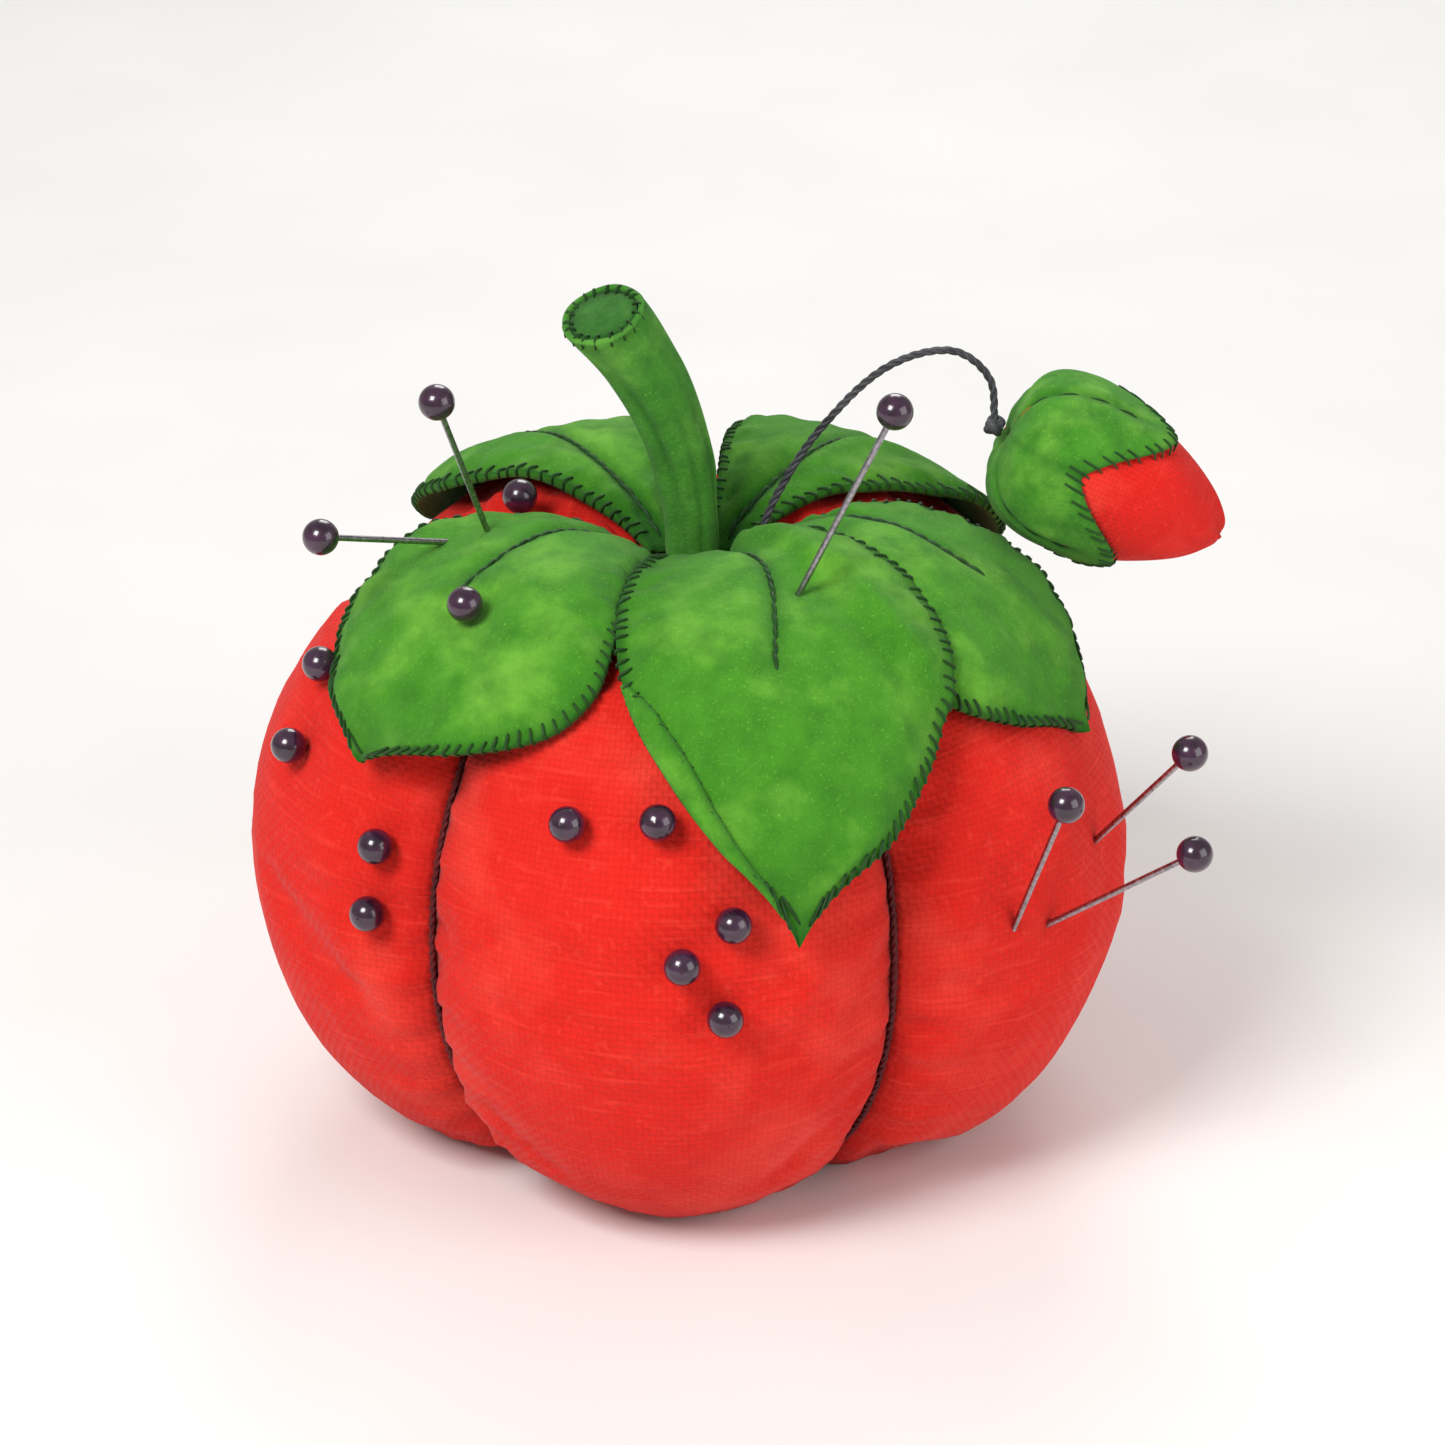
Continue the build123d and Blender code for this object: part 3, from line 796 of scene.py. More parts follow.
def leaf_thickness(name, radius, side):
    """Padded middle, thin sewn border and a crease along the midrib: (thickness, edge distance, crease)."""
    seed = LEAF_LOOK[name][0]
    tip = LEAVES[name][1]
    edge = max(0.0, min(leaf_half(name, radius, side) - abs(side), (tip - radius) * 0.7))
    off = side - midrib_side(name, radius)
    crease = bell(off) * (1 - smooth((radius / tip - 0.64) / 0.10))
    border = bell((edge - 2.2) / 1.8)
    thick = 0.95 + 1.75 * (1 - exp(-max(0.0, edge - 0.8) / 2.2)) - 0.85 * crease
    thick += border * (0.26 * sin(radius * 1.4 + seed) + 0.14 * sin(radius * 2.7 + seed * 2 + side))
    thick += 0.22 * sin(radius * 0.31 + seed * 2) * sin(side * 0.37 + seed)
    thick += 0.12 * sin(radius * 0.9 - abs(off) * 1.1) * smooth(abs(off) / 2.0) * smooth((edge - 1.5) / 3)
    thick += 0.22 * (1 - smooth((radius - 5) / 9)) * sin(side * 3.4 + seed)
    return thick - 1.2 * under_front(name, radius, side), edge, crease


def leaf_heights(name, radius, side):
    """Heights of a leaf's two faces over the crests of the lobes."""
    lift = leaf_lift(name, radius, side)
    high = lift + leaf_thickness(name, radius, side)[0]
    free, dip = near_pin(leaf_place(name, radius, side, high), 4.0)
    high -= (1 - free) * max(0.0, high - LEAF_TOP) + 0.3 * dip
    high -= under_strawberry(name, radius, side) * max(0.0, high - LEAF_TOP + 0.15)
    high -= (1 - smooth((radius - LEAF_ROOT) / 5)) * max(0.0, high - ROOT_HEIGHT)
    return min(lift, high - 0.5), high


def leaf_top(name, radius, side):
    return leaf_place(name, radius, side, leaf_heights(name, radius, side)[1])


def leaf_bottom(name, radius, side):
    return leaf_place(name, radius, side, max(0.02, leaf_heights(name, radius, side)[0]))


def border_stitches(name, sewing):
    """Stitches over the border, at uneven steps down one side and back up the other."""
    tip = LEAVES[name][1]
    path = []
    for sign in (-1, 1):
        line = []
        radius = LEAF_ROOT + 1.5
        while radius < tip - 0.4:
            line.append((radius, sign * leaf_half(name, radius, sign)))
            radius += 0.25
        path += line if sign < 0 else line[::-1]
    run = 0.0
    want = 0.6
    for (r0, s0), (r1, s1) in zip(path, path[1:]):
        a, b = leaf_top(name, r0, s0), leaf_top(name, r1, s1)
        step = (b - a).length
        while want < run + step:
            t = (want - run) / max(step, 1e-6)
            r, s = r0 + (r1 - r0) * t, s0 + (s1 - s0) * t
            want += 1.45 * rng.uniform(0.82, 1.18)
            if under_front(name, r, s) > 0.4:
                continue
            deep = rng.uniform(0.9, 1.3)
            back = r - 0.7 * deep * smooth((r / tip - 0.6) / 0.3)
            start = leaf_top(name, back, copysign(max(0.2, leaf_half(name, back, s) - deep), s))
            edge_top, edge_low = leaf_top(name, r, s), leaf_bottom(name, r, s)
            normal = leaf_normal(name, r, s)
            outward = (edge_top - start).normalized()
            slant = (b - a).normalized() * rng.uniform(0.15, 0.5)
            points = [
                start - normal * 0.2,
                start + normal * 0.15 + slant * 0.3,
                edge_top + normal * 0.13 + slant * 0.7,
                (edge_top + edge_low) / 2 + outward * 0.2 + slant,
                edge_low + outward * 0.05 + slant * 0.9,
            ]
            sewing.tube(catmull(points, 8), [0.08, 0.13, 0.16, 0.17, 0.17, 0.17, 0.15, 0.1])
        run += step


def midrib_stitches(name, sewing):
    radius = LEAF_ROOT + 1.2
    while radius < LEAVES[name][1] * 0.68:
        s0, s1 = midrib_side(name, radius), midrib_side(name, radius + 2.4)
        if under_front(name, radius, s0) < 0.3:
            a = leaf_top(name, radius, s0 - 0.2)
            b = leaf_top(name, radius + 2.4, s1 + 0.2)
            sewing.stitch(a, b, leaf_normal(name, radius + 1.2, s0), 0.24, 0.22)
        radius += 1.55


def make_leaf(name):
    tip = LEAVES[name][1]
    body = "leaf_" + name if name.startswith("back") else "cushion"
    rows, columns = 80, 44
    build = Build()
    top, under = [], []
    for i in range(rows + 1):
        radius = LEAF_ROOT + (tip - LEAF_ROOT) * (1 - (1 - i / rows) ** 1.2)
        top.append([])
        under.append([])
        for j in range(columns + 1):
            v = -1 + 2 * j / columns
            v = copysign(1 - (1 - abs(v)) ** 1.3, v)
            side = leaf_half(name, radius, v) * v
            _, edge, crease = leaf_thickness(name, radius, side)
            _, dip = near_pin(leaf_place(name, radius, side, LEAF_TOP), 3.0)
            # Painted shade: darker at the border, along the midrib crease, near the root, in pin dents and
            # where the front leaf covers it; the underside gets a flat painted shade of 0.6.
            tone = 0.8 * exp(-edge / 0.6) + 0.35 * exp(-edge / 3.5) + 0.7 * crease
            tone += 0.6 * (1 - smooth((radius - 5) / 12)) + 0.3 * dip + 0.7 * under_front(name, radius, side)
            top[i].append(build.vert(leaf_top(name, radius, side), (side, radius), min(1.0, tone)))
            under[i].append(build.vert(leaf_bottom(name, radius, side), (side, radius), 0.6))
    build.pad(top, under)
    build.piece("padded_leaf_" + name, LEAF, body, "leaf_felt", "leaf_" + name)
    sewing = Build()
    border_stitches(name, sewing)
    midrib_stitches(name, sewing)
    sewing.piece("leaf_stitching_" + name, LEAF_THREAD, body, "leaf_felt")


def make_turned_edge():
    """The front leaf's lower left edge is folded over on itself and sewn down."""
    name, tip = "front", LEAVES["front"][1]
    build, sewing = Build(), Build()
    rows, columns = 60, 10
    top, under = [], []
    for i in range(rows + 1):
        t = i / rows
        radius = (0.66 + 0.325 * t) * tip
        half = leaf_half(name, radius, -1)
        width = min(0.25 + 2.5 * sin(pi * t) ** 0.8 * (1 - 0.25 * t), max(0.2, half * 1.2))
        swell = sin(pi * min(1.0, t * 5, (1 - t) * 6) / 2)
        out = (leaf_top(name, radius, -half) - leaf_top(name, radius, -half + 0.6)).normalized()
        top.append([])
        under.append([])
        for j in range(columns + 1):
            u = j / columns
            side = -(half + 0.25) + (width + 0.25) * u
            inside = max(-half, min(half, side))
            p = leaf_top(name, radius, inside) + out * max(0.0, -half - side)
            normal = leaf_normal(name, radius, inside)
            high = 0.15 + 0.75 * sqrt(max(0.0, sin(pi * (0.06 + 0.88 * u)))) + 0.08 * sin(radius * 2.1 + 1)
            # Painted shade: darker at both edges of the fold, most at the inner edge; the underside gets a
            # flat painted shade of 0.8.
            tone = 0.75 * u**3 + 0.25 * (1 - u) ** 3
            top[i].append(build.vert(p + normal * (high * swell), (side, radius), tone))
            under[i].append(build.vert(p - normal * (0.25 + 0.5 * (1 - u)), (side, radius), 0.8))
        if i % 4 == 2 and 0.06 < t < 0.95:
            inner = width - half
            normal = leaf_normal(name, radius, inner)
            a = leaf_top(name, radius, inner - 0.5) + normal * 0.55
            b = leaf_top(name, radius + 0.5, inner + 0.45)
            points = [a - normal * 0.2, a + normal * 0.06, a.lerp(b, 0.6) + normal * 0.1, b - normal * 0.12]
            sewing.tube(catmull(points, 7), 0.13)
    build.pad(top, under)
    build.piece("turned_leaf_edge", LEAF, "cushion", "leaf_felt")
    sewing.piece("turned_edge_stitching", LEAF_THREAD, "cushion", "leaf_felt")


for leaf in LEAVES:
    make_leaf(leaf)
make_turned_edge()

# ---- stem
STEM_BASE = 66.0
STEM_RISE = 32.8
# Share of the stem's height and its radius there.
STEM_RADII = [(-0.12, 3.6), (0.0, 3.0), (0.2, 3.1), (0.4, 3.4), (0.6, 3.7), (0.8, 4.1), (1.0, 4.7)]
# Number of creases round the stem, their depth, where they start and how they wind up it.
STEM_CREASES = ((4, 0.42, 0.4, 0.9), (7, 0.24, 1.9, -0.7), (3, 0.3, 3.0, 0.4))
# Radius, height over the stem's end and painted shade of the rolled rim, darkest where it turns in.
STEM_RIM = ((4.75, 0.28, 0.2), (4.45, 0.5, 0.1), (4.1, 0.42, 0.3), (3.9, 0.1, 0.9), (3.9, -0.6, 1.0))
END_RADIUS = 3.86
STEM_SEAM = 2.2


def stem_middle(s):
    return Vector((-9.5 * abs(s) ** 2.5, -6.0 * s * s, STEM_BASE + STEM_RISE * s))


def stem_axes(s):
    """Direction up the stem, and two directions square to it."""
    axis = Vector((-0.32 * s, -0.38 * s, 1)).normalized()
    u = (Vector((1, 0, 0)) - axis * axis.x).normalized()
    return axis, u, axis.cross(u)


def stem_radius(s):
    k = 1
    while k < len(STEM_RADII) - 1 and s > STEM_RADII[k][0]:
        k += 1
    (s0, r0), (s1, r1) = STEM_RADII[k - 1], STEM_RADII[k]
    t = (s - s0) / (s1 - s0)
    return r0 + (r1 - r0) * (smooth(t) + t) / 2


def stem_surface(s, angle):
    """Point on the creased cloth of the stem, and how far the crease stands out."""
    _, u, v = stem_axes(s)
    crease = 0.0
    for count, depth, phase, turn in STEM_CREASES:
        wave = abs(sin(0.5 * (count * angle + phase + turn * s * 2)))
        crease += depth * (wave**0.6 - 0.75)
    crease *= 0.55 + 0.6 * sin(pi * min(1.0, max(0.0, s)) ** 0.9)
    cross = 0.1 * sin(s * 19 + angle * 2) * bell((s - 0.35) / 0.25)
    return stem_middle(s) + turned_ray(u, v, angle) * (stem_radius(s) + crease + cross), crease


def make_stem_sleeve():
    """Creased cloth up the stem, rolled in at the top."""
    build = Build()
    rows = 84
    axis, u, v = stem_axes(1)
    centre = stem_middle(1)

    def cloth(s, a):
        p, crease = stem_surface(s, a)
        # Painted shade: darker in the creases, at the foot where the stem meets the leaves, and near the
        # rolled top.
        ends = 0.5 * exp(-max(0.0, s + 0.04) / 0.08) + 0.25 * smooth((s - 0.93) / 0.07)
        return p, (a * 3.4, s * 34), min(1.0, max(0.0, -crease * 1.5) + ends)

    def rim(row, a):
        radius, lift, tone = row
        p = centre + turned_ray(u, v, a) * (radius + 0.08 * sin(a * 5 + 1)) + axis * lift
        return p, (a * 3.4, 34 + lift), tone

    rings = build.rings([-0.045 + 1.045 * i / rows for i in range(rows + 1)], 72, cloth)
    build.sheet(rings + build.rings(STEM_RIM, 72, rim), True)
    build.piece("stem_cloth_sleeve", STEM, "stem", "stem_cloth", "stem_sleeve", shell=0.5)


def make_stem_end():
    """Domed disc over the stuffing."""
    build = Build()
    axis, u, v = stem_axes(1)
    centre = stem_middle(1)

    def disc(radius, a):
        share = radius / END_RADIUS
        lift = 0.12 + 0.5 * (1 - share**2) + 0.1 * sin(a * 3 + radius * 2)
        p = centre + turned_ray(u, v, a) * radius + axis * lift
        # Painted shade: darker towards the rim.
        return p, (radius * cos(a), radius * sin(a)), 0.4 * share**4

    rings = build.rings((END_RADIUS, 3.2, 2.4, 1.6, 0.8), 48, disc)
    build.sheet(rings, True)
    build.fan(rings[-1], False, centre + axis * 0.66)
    build.piece("stem_end_cloth", STEM_END, "stem", "stem_end_cloth", "stem_end_cap", shell=0.5)


def make_stem_stitching():
    sewing = Build()
    axis, u, v = stem_axes(1)
    centre = stem_middle(1)
    for k in range(18):
        ray = turned_ray(u, v, 2 * pi * (k + rng.uniform(-0.15, 0.15)) / 18)
        side = axis.cross(ray)
        start = centre + ray * 4.7 - axis * 0.35
        finish = centre + ray * 3.5 + axis * 0.42 + side * 0.35
        crest = centre + ray * 4.2 + axis * 0.72 + side * 0.15
        points = [start - ray * 0.3, start + ray * 0.1, crest, finish + axis * 0.05, finish - axis * 0.35]
        sewing.tube(catmull(points, 9), 0.13)
    for k in range(26):
        s = 0.03 + 0.9 * k / 25
        a, _ = stem_surface(s, STEM_SEAM + 0.07)
        b, _ = stem_surface(s + 0.022, STEM_SEAM - 0.07)
        sewing.stitch(a, b, (a - stem_middle(s)).normalized(), 0.16, 0.16)
    for a in circle(18):
        low, _ = stem_surface(-0.035, a)
        high, _ = stem_surface(0.03, a + 0.1)
        sewing.stitch(low, high, (high - stem_middle(0.0)).normalized(), 0.2, 0.3)
    sewing.piece("stem_stitching", LEAF_THREAD, "stem", "stem_cloth")


make_stem_sleeve()
make_stem_end()
make_stem_stitching()

# ---- cord
ANCHOR = Vector((7.3, 1.7, 68.4))
CORD_BENDS = [(9.8, 1.8, 74.8), (14.5, 2.0, 82.4), (21.5, 2.4, 89.4), (28.8, 2.9, 91.4), (33.3, 3.2, 88.0)]
CORD_END = box_centre("cord_end_knot")
BERRY_TOP = Vector((35.8, 3.2, 81.3))
BERRY_DIP = radians(27)
# Directions down the strawberry, square to that in the upright plane, and towards the viewer.
BERRY_DOWN = Vector((cos(BERRY_DIP), 0, -sin(BERRY_DIP)))
BERRY_ACROSS = Vector((sin(BERRY_DIP), 0, cos(BERRY_DIP)))
BERRY_FRONT = Vector((0, -1, 0))


def make_cord():
    path = catmull([ANCHOR] + CORD_BENDS + [CORD_END], 260)
    build = Build()
    inner = [p for p in path if (p - ANCHOR).length > 0.3 and (p - CORD_END).length > 0.3]
    build.twisted(inner, 0.47, 3, 3.8, 7)
    build.piece("twisted_cord", CORD, "cord", "waxed_cord", "emery_cord")


def make_knot(name, centre, radius, thickness, body, stands_for, axis=UP):
    """Thread pulled into a small overhand knot: a closed trefoil round a twisted core."""
    turn = UP.rotation_difference(axis)
    points = []
    for i in range(97):
        a = 2 * pi * i / 96
        p = Vector(((sin(a) + 2 * sin(2 * a)) / 3, (cos(a) - 2 * cos(2 * a)) / 3, -0.62 * sin(3 * a)))
        points.append(centre + turn @ p * (radius - thickness))
    ball = []
    for i in range(40):
        a = 2 * pi * i / 9
        h = -1 + 2 * i / 39
        r = 0.45 * radius * sqrt(max(0.05, 1 - h * h))
        ball.append(centre + turn @ Vector((r * cos(a), r * sin(a), h * radius * 0.55)))
    build = Build()
    build.tube(points, thickness, 9)
    build.tube(ball, thickness * 0.8, 7)
    build.piece(name, CORD, body, "waxed_cord", stands_for)


make_cord()
make_knot("cord_knot_at_crown", ANCHOR, 1.15, 0.42, "cord_root", "cord_anchor_knot")
make_knot("cord_knot_at_strawberry", CORD_END, 1.35, 0.48, "emery", "cord_end_knot", BERRY_DOWN)

# ---- strawberry
# Distance down the strawberry and its radius there.
BERRY_PROFILE = [(0, 0), (0.2, 4.2), (2, 7.4), (6.2, 9), (11.5, 8.9), (17.5, 7.6), (23, 4.7), (26.2, 2)]
BERRY_LENGTH = 27
BERRY_CURVE = []
for berry_place in catmull([(*pair, 0) for pair in BERRY_PROFILE + [(BERRY_LENGTH, 0)]], 241):
    BERRY_CURVE.append((berry_place.x, max(0.0, berry_place.y)))
BERRY_SEAM = 4.3
SEPALS = 3
SEPAL_TURN = radians(12)
CALYX_LENGTH = 16.0
NOTCH = 7.5
CALYX_START = 0.012


def berry_point(share, angle, offset=0.0):
    """Point at a share of the strawberry's profile, lifted off it, and the normal there."""
    k = share * (len(BERRY_CURVE) - 1)
    i = min(int(k), len(BERRY_CURVE) - 2)
    start, end = Vector(BERRY_CURVE[i]), Vector(BERRY_CURVE[i + 1])
    slope = end - start
    normal = Vector((-slope.y, slope.x)).normalized()
    d, r = start + slope * (k - i) + normal * offset
    ray = turned_ray(BERRY_ACROSS, BERRY_FRONT, angle)
    return BERRY_TOP + BERRY_DOWN * d + ray * max(0.0, r), BERRY_DOWN * normal.x + ray * normal.y


def berry_folds(share, angle):
    """Height of the cloth's gathers and dents, and the painted shade there."""
    top = exp(-share / 0.10)
    tip = exp(-(1 - share) / 0.09)
    seam = bell((angle - BERRY_SEAM) / 0.09)
    folds = 0.16 * top * sin(angle * 14) + 0.16 * tip * sin(angle * 9 + 1)
    folds += 0.14 * sin(angle * 3 + share * 9) + 0.1 * sin(angle * 5 - share * 14 + 1)
    folds += 0.1 * bell((angle - BERRY_SEAM) / 0.35) * sin(share * 95) - 0.45 * seam
    # Painted shade: darkest in the seam, darker in the gathers at the top and at the tip.
    return folds, min(1.0, 0.8 * seam + 0.4 * top + 0.3 * tip)


def closed_bag(rows, sides, place, tone=0.0):
    """Rings down the strawberry, closed at both ends."""
    build = Build()
    rings = build.rings(rows, sides, place)
    build.sheet(rings[::-1], True)
    build.fan(rings[0], False, tone=tone)
    build.fan(rings[-1], True, tone=tone)
    return build


def make_bag():
    rows = 110

    def cloth(share, a):
        fold, tone = berry_folds(share, a)
        fade = smooth(share / 0.05) * smooth((1 - share) / 0.03)
        return berry_point(share, a, fold * fade)[0], (a * 8, share * 36), tone

    # Painted shade of 0.6 at the centres that close both ends.
    build = closed_bag([0.02 + 0.975 * i / rows for i in range(rows + 1)], 120, cloth, 0.6)
    build.piece("strawberry_cloth", BERRY_RED, "emery", "strawberry_cotton", "strawberry_bag")
    sewing = Build()
    for k in range(24):
        share = 0.08 + 0.84 * k / 24
        lift = berry_folds(share, BERRY_SEAM)[0] + 0.1
        a, normal = berry_point(share, BERRY_SEAM + 0.05, lift)
        b, _ = berry_point(share + 0.018, BERRY_SEAM - 0.05, lift)
        sewing.stitch(a, b, normal, 0.16, 0.16)
    sewing.piece("strawberry_seam", SEAM_THREAD, "emery", "strawberry_cotton")


def make_sand():
    def lumps(i, a):
        lump = 0.15 * sin(a * 7 + i) + 0.1 * sin(a * 11 - i * 0.7)
        return berry_point(0.05 + 0.88 * i / 39, a, lump - 1.5)[:1]

    build = closed_bag(range(40), 48, lumps)
    build.piece("emery_sand", EMERY, "emery", "emery", "emery_filling")


def calyx_reach(angle):
    """How far down the strawberry the calyx comes at an angle: a notch faces the viewer."""
    phase = (angle - pi / 2 + SEPAL_TURN) * SEPALS / (2 * pi)
    t = abs((phase % 1.0) - 0.5) * 2
    return NOTCH + (CALYX_LENGTH - NOTCH) * smooth(1 - t) ** 0.8, t


def share_at(distance):
    """Share of the strawberry's profile at a distance down it."""
    k = 0
    while BERRY_CURVE[k + 1][0] < distance:
        k += 1
    start, end = BERRY_CURVE[k][0], BERRY_CURVE[k + 1][0]
    return (k + (distance - start) / max(end - start, 1e-6)) / (len(BERRY_CURVE) - 1)


def calyx_point(angle, f, upper=True):
    """Point on the calyx at a share of the way down to its edge, and the painted shade there."""
    reach, t = calyx_reach(angle)
    share = CALYX_START + (share_at(reach) - CALYX_START) * f
    edge = (1 - f) * reach
    fold, _ = berry_folds(share, angle)
    lift = 0.12 + 0.55 * smooth((f - 0.8) / 0.2) * (1 - t) + 0.08 * sin(angle * 5 + f * 6) * smooth(f / 0.3)
    lift += max(0.0, fold * smooth(share / 0.05)) * smooth((f - 0.1) / 0.2)
    if not upper:
        # The underside gets a flat painted shade of 0.6.
        return berry_point(share, angle, lift * 0.6)[0], 0.6
    crease = bell(t / 0.07) * smooth(f / 0.25) * (1 - smooth((f - 0.75) / 0.2))
    valley = bell((1 - t) / 0.10)
    thick = (0.35 + 0.4 * (1 - exp(-edge / 1.1))) * (0.15 + 0.85 * smooth(f / 0.6))
    thick += 0.1 * sin(angle * 9 + f * 5) * sin(f * 9) * smooth(f / 0.3) - 0.35 * crease - 0.35 * valley * f
    # Painted shade: darker at the sepal edges, in the creases and valleys and near the top.
    tone = 0.6 * exp(-edge / 0.6) + 0.5 * crease + 0.45 * valley + 0.35 * exp(-f / 0.12)
    return berry_point(share, angle, lift + thick)[0], min(1.0, tone)


def make_calyx():
    build = Build()
    rows = [i / 34 for i in range(35)]

    def face(upper):
        def place(f, a):
            p, tone = calyx_point(a, f, upper)
            return p, (a * 8, f * calyx_reach(a)[0]), tone

        return build.rings(rows, 180, place)

    build.pad(face(True), face(False), True)
    build.piece("strawberry_sepals", CALYX, "emery", "calyx_felt", "strawberry_calyx")

    sewing = Build()
    count = 54
    for k in range(count):
        a = 2 * pi * (k + rng.uniform(-0.2, 0.2)) / count
        reach, _ = calyx_reach(a)
        p0, _ = calyx_point(a, 1 - rng.uniform(0.9, 1.3) / reach)
        p1, _ = calyx_point(a + 0.02, 1.0)
        p2, normal = berry_point(share_at(reach + 0.6), a + 0.04, 0.15)
        over = [p0 + normal * 0.1, p1 + normal * 0.1, p1.lerp(p2, 0.5) + normal * 0.05]
        points = [p0 - normal * 0.25] + over + [p2]
        sewing.tube(catmull(points, 8), [0.08, 0.12, 0.14, 0.15, 0.15, 0.14, 0.12, 0.08])
    for sepal in range(SEPALS):
        a = pi / 2 - SEPAL_TURN + (sepal + 0.5) * 2 * pi / SEPALS
        d = 3.0
        while d < CALYX_LENGTH * 0.68:
            p0, _ = calyx_point(a + 0.012, d / CALYX_LENGTH)
            p1, _ = calyx_point(a - 0.012, (d + 1.9) / CALYX_LENGTH)
            sewing.stitch(p0, p1, berry_point(share_at(d + 1), a)[1], 0.15, 0.16)
            d += 2.5
    sewing.piece("sepal_stitching", LEAF_THREAD, "emery", "calyx_felt")


make_bag()
make_sand()
make_calyx()


# ---- tie down the middle, base
def make_tie():
    low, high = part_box("tie_strand")
    bottom, top = low.z / MM + 1.2, high.z / MM - 1.2
    build = Build()
    build.twisted([UP * (bottom + (top - bottom) * i / 160) for i in range(161)], 0.6, 2, 3.0, 7)
    for z in (bottom, top):
        for turns in range(3):
            ring = []
            for i in range(25):
                a = 2 * pi * i / 24 + turns
                ring.append(Vector((cos(a), sin(a), z + (turns - 1) * 0.55 + 0.2 * sin(a + turns))))
            build.tube(ring, 0.34, 7)
    build.piece("tie_thread_middle", SEAM_THREAD, "cushion", "tie_thread", "tie_strand")


def make_base():
    build = Build()

    def disc(row, a):
        radius, z = row
        r = radius * (1 + 0.006 * sin(a * 9 + 1) + 0.004 * sin(a * 23))
        x, y = r * cos(a), r * sin(a)
        # Painted shade: darker towards the rim.
        return (x, y, z), (x, y), 0.3 * (radius / 9.2) ** 6

    rings = build.rings(((8.6, 0.0), (9.2, 0.3), (9.3, 0.7), (9.0, 1.15), (8.2, 1.25)), 96, disc)
    build.sheet(rings, True)
    build.fan(rings[0], True, Vector())
    build.fan(rings[-1], False, UP * 1.2)
    build.piece("base_felt_disc", BASE_FELT, "cushion", "base_felt", "base_patch")

    sewing = Build()
    for a in circle(44):
        points = []
        for radius, side, z in ((8.3, 0.0, 0.25), (8.9, 0.15, 0.19), (9.5, 0.35, 0.5), (9.8, 0.45, 1.4)):
            points.append((radius * cos(a) - side * sin(a), radius * sin(a) + side * cos(a), z))
        sewing.tube(catmull(points, 8), 0.17)
    sewing.piece("base_stitching", SEAM_THREAD, "cushion", "base_felt")


make_tie()
make_base()

# ---- pins and the stem's stuffing keep the CAD shapes
KEPT = {"head": (HEAD, "pin_head"), "shank": (STEEL, "pin_steel"), "core": (STUFFING, "stem_stuffing")}
for node, obj in frame["nodes"].items():
    kind = node.rsplit("_")[-1]
    if node.startswith("pin_") or node == "stem_core":
        material, slot = KEPT[kind]
        obj.data.materials.clear()
        obj.data.materials.append(material)
        for polygon in obj.data.polygons:
            polygon.use_smooth = polygon.use_smooth or kind != "core"

# ---- stage
WORLD_SEEN = 0.82
WORLD_LIGHT = 0.40
FLOOR_HEIGHT = -0.06
FLOOR_HALF_WIDTH = 2600
SWEEP_START = 800
SWEEP_RADIUS = 300
WALL_TOP = 1500
TARGET = Vector((0.0035, 0.0, 0.047))
CAMERA_ELEVATION = radians(25)
CAMERA_DISTANCE = 0.62


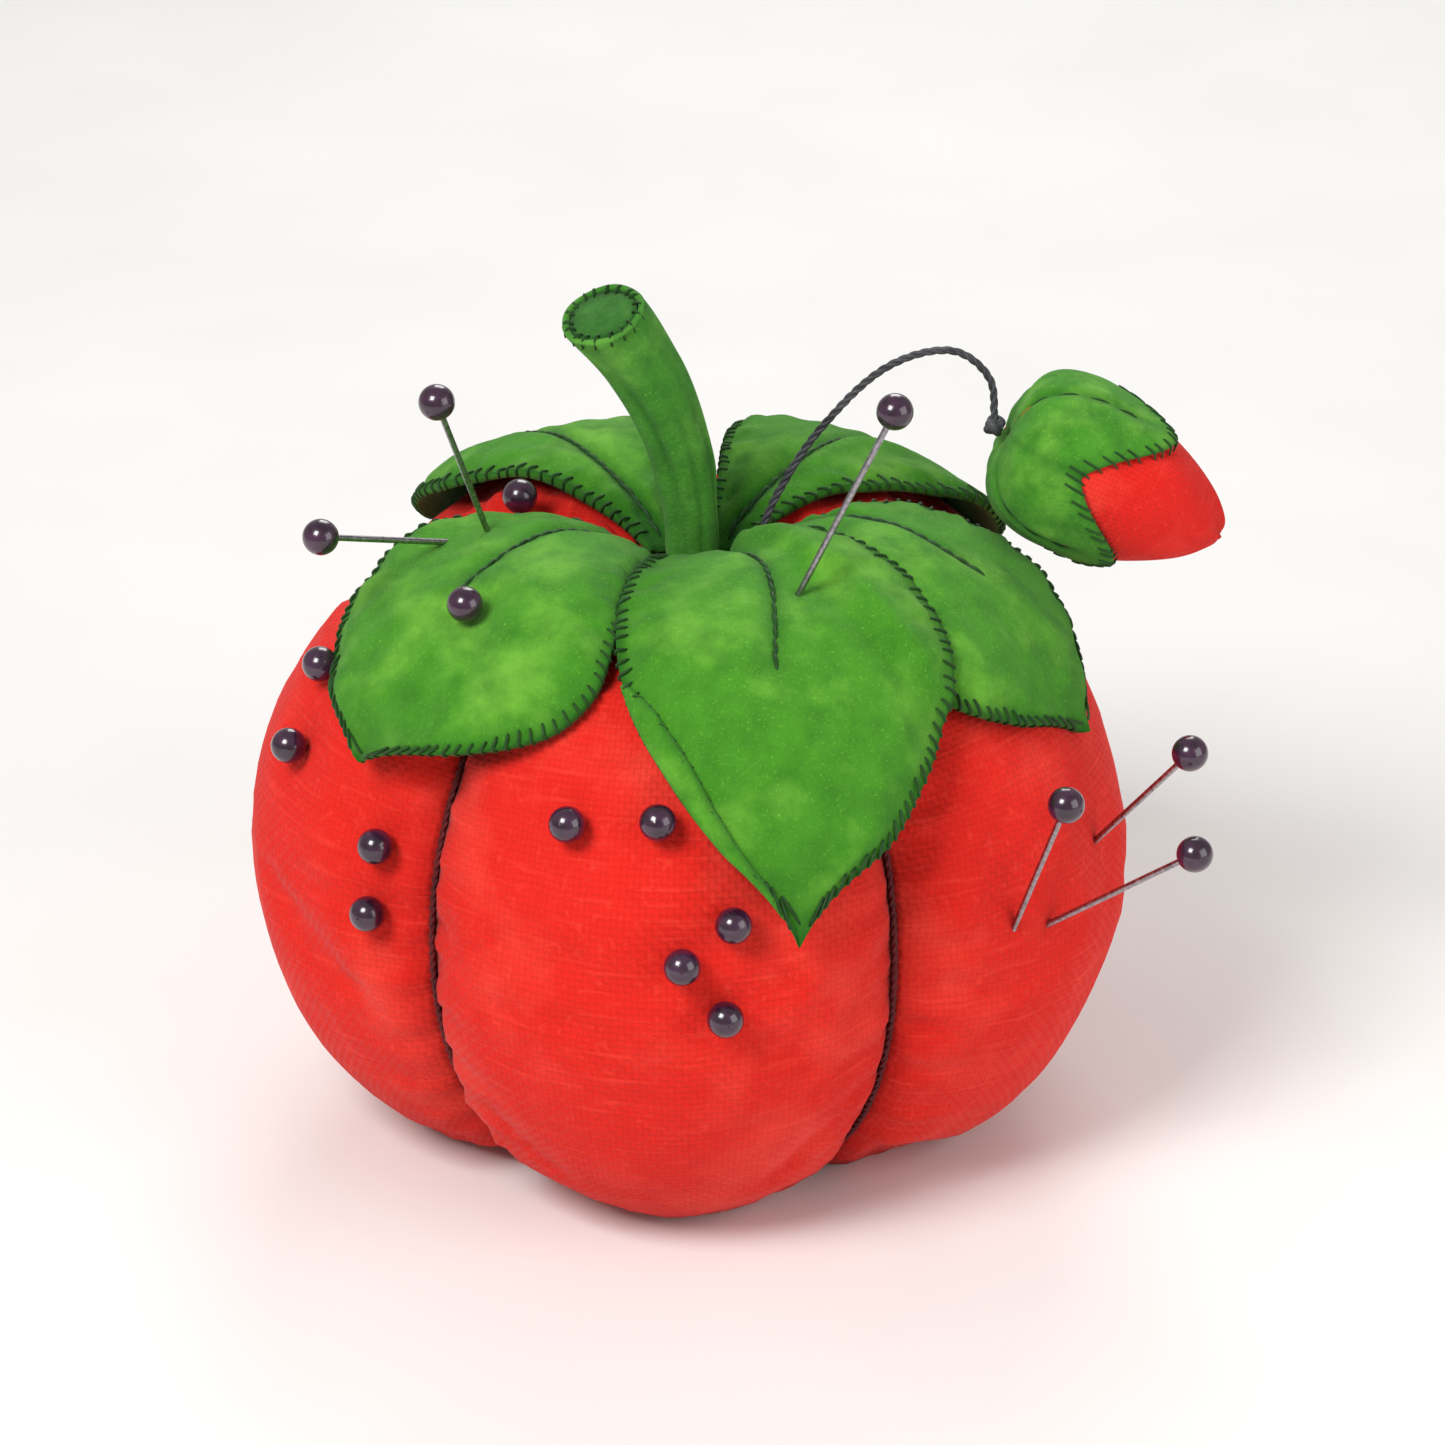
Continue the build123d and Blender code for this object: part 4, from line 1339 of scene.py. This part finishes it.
def make_floor():
    """Paper sweep: a floor that turns up into a back wall."""
    paper = Nodes("floor_paper")
    tint = paper.ramp(paper.noise(60.0, 2.0), [(0.3, (0.80, 0.79, 0.77)), (0.7, (0.84, 0.83, 0.81))])
    paper.set(base=tint, rough=0.9)
    build = Build()
    profile = []
    for i in range(9):
        profile.append((-FLOOR_HALF_WIDTH + (SWEEP_START + FLOOR_HALF_WIDTH) * i / 8, FLOOR_HEIGHT))
    for i in range(1, 13):
        a = pi / 2 * i / 12
        profile.append((SWEEP_START + SWEEP_RADIUS * sin(a), FLOOR_HEIGHT + SWEEP_RADIUS * (1 - cos(a))))
    profile.append((SWEEP_START + SWEEP_RADIUS, WALL_TOP))
    rows = []
    for y, z in profile:
        rows.append([build.vert((FLOOR_HALF_WIDTH * k / 2, y, z)) for k in range(-2, 3)])
    build.sheet(rows[::-1])
    build.object("floor_sheet", paper.material)


def make_world():
    """Soft white surroundings, brighter to the camera than as a light."""
    world = bpy.data.worlds.new("studio")
    bpy.context.scene.world = world
    world.use_nodes = True
    tree = world.node_tree
    sky = tree.nodes["Background"]
    sky.inputs[0].default_value = (1.0, 1.0, 1.0, 1)
    seen = tree.nodes.new("ShaderNodeLightPath")
    strength = tree.nodes.new("ShaderNodeMath")
    strength.operation = "MULTIPLY_ADD"
    strength.inputs[1].default_value = WORLD_SEEN - WORLD_LIGHT
    strength.inputs[2].default_value = WORLD_LIGHT
    tree.links.new(seen.outputs["Is Camera Ray"], strength.inputs[0])
    tree.links.new(strength.outputs[0], sky.inputs[1])


def aimed(name, data, place, target):
    """Puts a light or the camera in the scene, pointed at a target."""
    obj = bpy.data.objects.new(name, data)
    bpy.context.scene.collection.objects.link(obj)
    obj.location = place
    obj.rotation_euler = (target - Vector(place)).to_track_quat("-Z", "Y").to_euler()
    return obj


def area_light(name, place, size, power, target_height=0.04):
    data = bpy.data.lights.new(name, "AREA")
    data.size = size
    data.energy = power
    aimed(name, data, place, UP * target_height)


def make_camera():
    data = bpy.data.cameras.new("camera")
    data.lens = 135
    data.sensor_width = 36
    direction = Vector((0, -cos(CAMERA_ELEVATION), sin(CAMERA_ELEVATION)))
    bpy.context.scene.camera = aimed("camera", data, TARGET + direction * CAMERA_DISTANCE, TARGET)


make_floor()
make_world()
area_light("key_light", (-0.28, -0.38, 0.50), 0.25, 3.8)
area_light("fill_light", (0.45, -0.30, 0.25), 0.40, 1.3)
area_light("back_light", (0.05, 0.50, 0.45), 0.30, 1.5, 0.05)
make_camera()
bpy.context.scene.view_settings.view_transform = "Standard"
